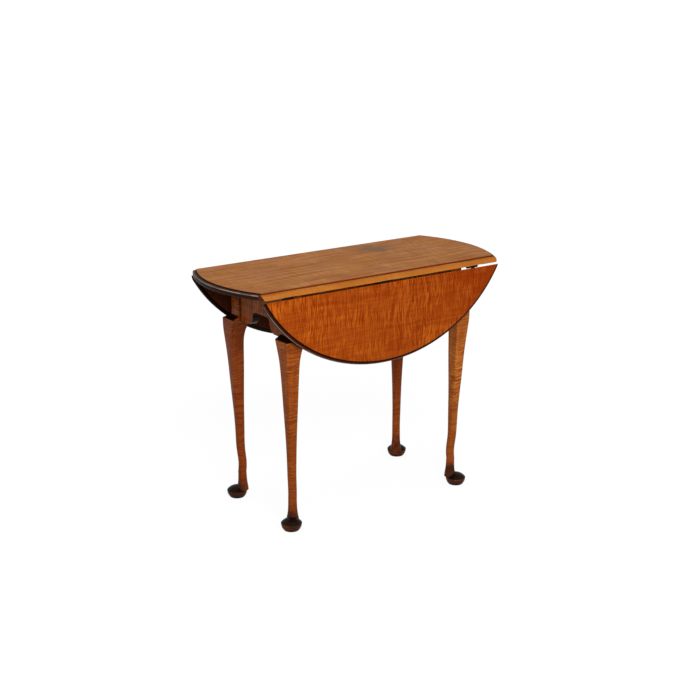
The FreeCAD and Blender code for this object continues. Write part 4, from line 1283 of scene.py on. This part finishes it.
@dataclass
class LeafHinges:
    """The six iron hinges of the leaves, their pins and their screws."""

    places: tuple[str, ...] = ("left", "middle", "right")
    screw: WoodScrew = field(default_factory=lambda: WoodScrew(1.5 * MM, 1.4 * MM, 12.0 * MM))
    plate_thick: float = 2.0 * MM
    row_reach: float = 35.0 / 3.0 * MM
    one_row: float = 12.4 * MM
    near_row: float = 22.0 * MM
    far_row: float = 36.96 * MM
    pin_dome: float = 0.6 * MM
    pin_sides: int = 24
    dome_shape: tuple[tuple[float, float], ...] = ((0.45, 0.0), (0.8, 0.35), (1.0, 1.0))
    frame_turns: Turns = Turns(0.4, 1.3, 3.0)
    leaf_turns: Turns = Turns(0.2, 0.8, 5.0)

    def dress(self) -> None:
        """Give the plates their dark iron."""
        iron = HINGE_IRON.material("Hinge iron")
        for side in ("front", "rear"):
            for place in self.places:
                paint(f"hinge_frame_plate_{side}_{place}", iron)
                paint(f"hinge_leaf_plate_{side}_{place}", iron)

    def build_pins(self) -> None:
        """Make the pins, with ends that were hammered to a low dome."""
        steel = PIN_STEEL.material("Pin steel")
        for side in ("front", "rear"):
            turner = Turner()
            nodes = [f"hinge_pin_{side}_{place}" for place in self.places]
            for node in nodes:
                low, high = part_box(node)
                radius = (high.z - low.z) / 2
                long = high.x - low.x
                dome = self.dome_shape
                profile = [(radius * share, self.pin_dome * rise) for share, rise in dome]
                profile += [(radius * share, long - self.pin_dome * rise) for share, rise in reversed(dome)]
                middle = Vector((low.x, (low.y + high.y) / 2, (low.z + high.z) / 2))
                lying = Matrix.Translation(middle) @ Matrix.Rotation(math.pi / 2, 4, "Y")
                turner.lathe(profile, self.pin_sides, lying)
            turner.finish(f"hinge_pins_{side}", "table_frame", steel, nodes)

    def build_screws(self) -> None:
        """Make the screws of the plates: two in each frame plate and three in each leaf plate."""
        steel = SCREW_STEEL.material("Hinge screw steel")
        above = Turner()
        for side, way in (("front", -1.0), ("rear", 1.0)):
            beside = Turner()
            for place in self.places:
                low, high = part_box(f"hinge_pin_{side}_{place}")
                pin = (low + high) / 2
                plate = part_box(f"hinge_frame_plate_{side}_{place}")[1].z - self.plate_thick
                for n, reach in enumerate((-self.row_reach, self.row_reach)):
                    foot = Vector((pin.x + reach, pin.y - way * self.one_row, plate))
                    turn = self.frame_turns.at(n, pin.x)
                    self.screw.cut(above, self.screw.stand(foot, Vector((0, 0, 1)), turn))
                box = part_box(f"hinge_leaf_plate_{side}_{place}")
                face = (box[1].y if way > 0 else box[0].y) - way * self.plate_thick
                rows = (
                    (-self.row_reach, self.near_row), (self.row_reach, self.near_row), (0.0, self.far_row))
                for n, (reach, drop) in enumerate(rows):
                    foot = Vector((pin.x + reach, face, pin.z - drop))
                    stand = self.screw.stand(foot, Vector((0, way, 0)), self.leaf_turns.at(n, pin.x))
                    self.screw.cut(beside, stand)
            beside.finish(f"leaf_plate_screws_{side}", f"{side}_leaf", steel,
                          [f"hinge_screws_leaf_{side}"])
        above.finish("frame_plate_screws", "table_frame", steel, ["hinge_screws_frame"])


@dataclass
class Studio:
    """A plain white floor and backdrop, soft lamps and the camera."""

    focal_length: float = 70.41
    azimuth: float = math.radians(-35.281)
    elevation: float = math.radians(16.647)
    distance: float = 3.7685
    target: Place = (0.0083, 0.0, 0.4104)
    floor_size: float = 400.0
    floor_glow: float = 0.88
    glow_strength: float = 1.03
    near_floor: float = 0.7
    far_floor: float = 1.7
    floor_colour: Colour = (0.9, 0.9, 0.9)
    bounce_colour: Colour = (0.35, 0.35, 0.35)
    ambient: float = 0.62

    def place_camera(self) -> None:
        """Stand the camera where the table is seen from its front left corner."""
        data = bpy.data.cameras.new("Camera")
        data.lens = self.focal_length
        data.sensor_width = 36.0
        camera = bpy.data.objects.new("Camera", data)
        flat = math.cos(self.elevation)
        aside = math.sin(self.azimuth) * flat
        back = Vector((aside, -math.cos(self.azimuth) * flat, math.sin(self.elevation)))
        camera.location = Vector(self.target) + back * self.distance
        camera.rotation_euler = (-back).to_track_quat("-Z", "Y").to_euler()
        bpy.context.scene.collection.objects.link(camera)
        bpy.context.scene.camera = camera

    def seen(self, graph: Graph) -> Socket:
        """Say which rays see the backdrop as such, and not as a light.

        Args:
            graph: The nodes of the floor or of the world.

        Returns:
            1 for rays from the camera and for those that gloss or glass sends on.
        """
        path = graph.add("ShaderNodeLightPath").outputs
        return graph.math("MAXIMUM", graph.math("MAXIMUM", path["Is Camera Ray"], path["Is Glossy Ray"]),
                          path["Is Transmission Ray"])

    def build_world(self) -> None:
        """Make the white backdrop and the even light that it gives."""
        world = bpy.data.worlds.new("Studio")
        world.use_nodes = True
        world.node_tree.nodes.clear()
        graph = Graph(world.node_tree)
        grey = (self.ambient, self.ambient, self.ambient)
        colour = graph.blend(self.seen(graph), grey, (1.0, 1.0, 1.0))
        light = graph.add("ShaderNodeBackground", {"Color": colour, "Strength": 1.0})
        graph.add("ShaderNodeOutputWorld", {"Surface": light.outputs[0]})
        bpy.context.scene.world = world

    def build_floor(self) -> None:
        """Lay the white floor, which keeps the table's soft shadow and is pure white further out."""
        data = bpy.data.meshes.new("Floor")
        half = self.floor_size / 2
        corners = [(-half, -half, 0.0), (half, -half, 0.0), (half, half, 0.0), (-half, half, 0.0)]
        data.from_pydata(corners, [], [(0, 1, 2, 3)])
        floor = bpy.data.objects.new("Floor", data)
        bpy.context.scene.collection.objects.link(floor)
        material = bpy.data.materials.new("Floor white")
        material.use_nodes = True
        material.node_tree.nodes.clear()
        graph = Graph(material.node_tree)
        seen = self.seen(graph)
        paper = graph.blend(seen, self.bounce_colour, self.floor_colour)
        lit = graph.add("ShaderNodeBsdfDiffuse", {"Color": paper})
        glow = graph.add("ShaderNodeEmission", {"Color": (1.0, 1.0, 1.0), "Strength": self.glow_strength})
        away = graph.add("ShaderNodeVectorMath", {
            0: graph.add("ShaderNodeTexCoord").outputs["Object"]}, operation="LENGTH").outputs["Value"]
        whiter = graph.spread(away, self.near_floor, self.far_floor, self.floor_glow, 1.0)
        share = graph.math("MULTIPLY", seen, whiter)
        mixed = graph.add("ShaderNodeMixShader", {0: share, 1: lit.outputs[0], 2: glow.outputs[0]})
        graph.add("ShaderNodeOutputMaterial", {"Surface": mixed.outputs[0]})
        data.materials.append(material)

    def hang_lamp(self, name: str, place: Place, aim: Place, size: float, power: float) -> None:
        """Hang one soft square lamp.

        Args:
            name: The lamp's name.
            place: Where it hangs.
            aim: What it points at.
            size: The length of its sides.
            power: Its power in watts.
        """
        data = bpy.data.lights.new(name, "AREA")
        data.size = size
        data.energy = power
        lamp = bpy.data.objects.new(name, data)
        lamp.location = place
        lamp.rotation_euler = (Vector(aim) - Vector(place)).to_track_quat("-Z", "Y").to_euler()
        bpy.context.scene.collection.objects.link(lamp)

    def build(self) -> None:
        """Set the whole stage."""
        self.place_camera()
        self.build_world()
        self.build_floor()
        self.hang_lamp("Key lamp", (-1.1, -2.6, 1.9), (0.0, -0.1, 0.4), 1.3, 75.0)
        self.hang_lamp("Top lamp", (0.3, 0.4, 2.8), (0.0, 0.0, 0.5), 1.6, 7.0)
        bpy.context.scene.view_settings.view_transform = "Standard"
        log.info("The studio is set")


def main() -> None:
    """Dress the table piece by piece and set the stage around it."""
    logging.basicConfig(level=logging.INFO, format="%(message)s")
    Studio().build()
    RuleJointTop().dress()
    legs = CabrioleFrame()
    legs.dress()
    legs.build_screws()
    supports = LeafSupports()
    supports.dress()
    supports.build_pegs()
    supports.build_screws()
    hinges = LeafHinges()
    hinges.dress()
    hinges.build_pins()
    hinges.build_screws()


if __name__ == "__main__":
    main()
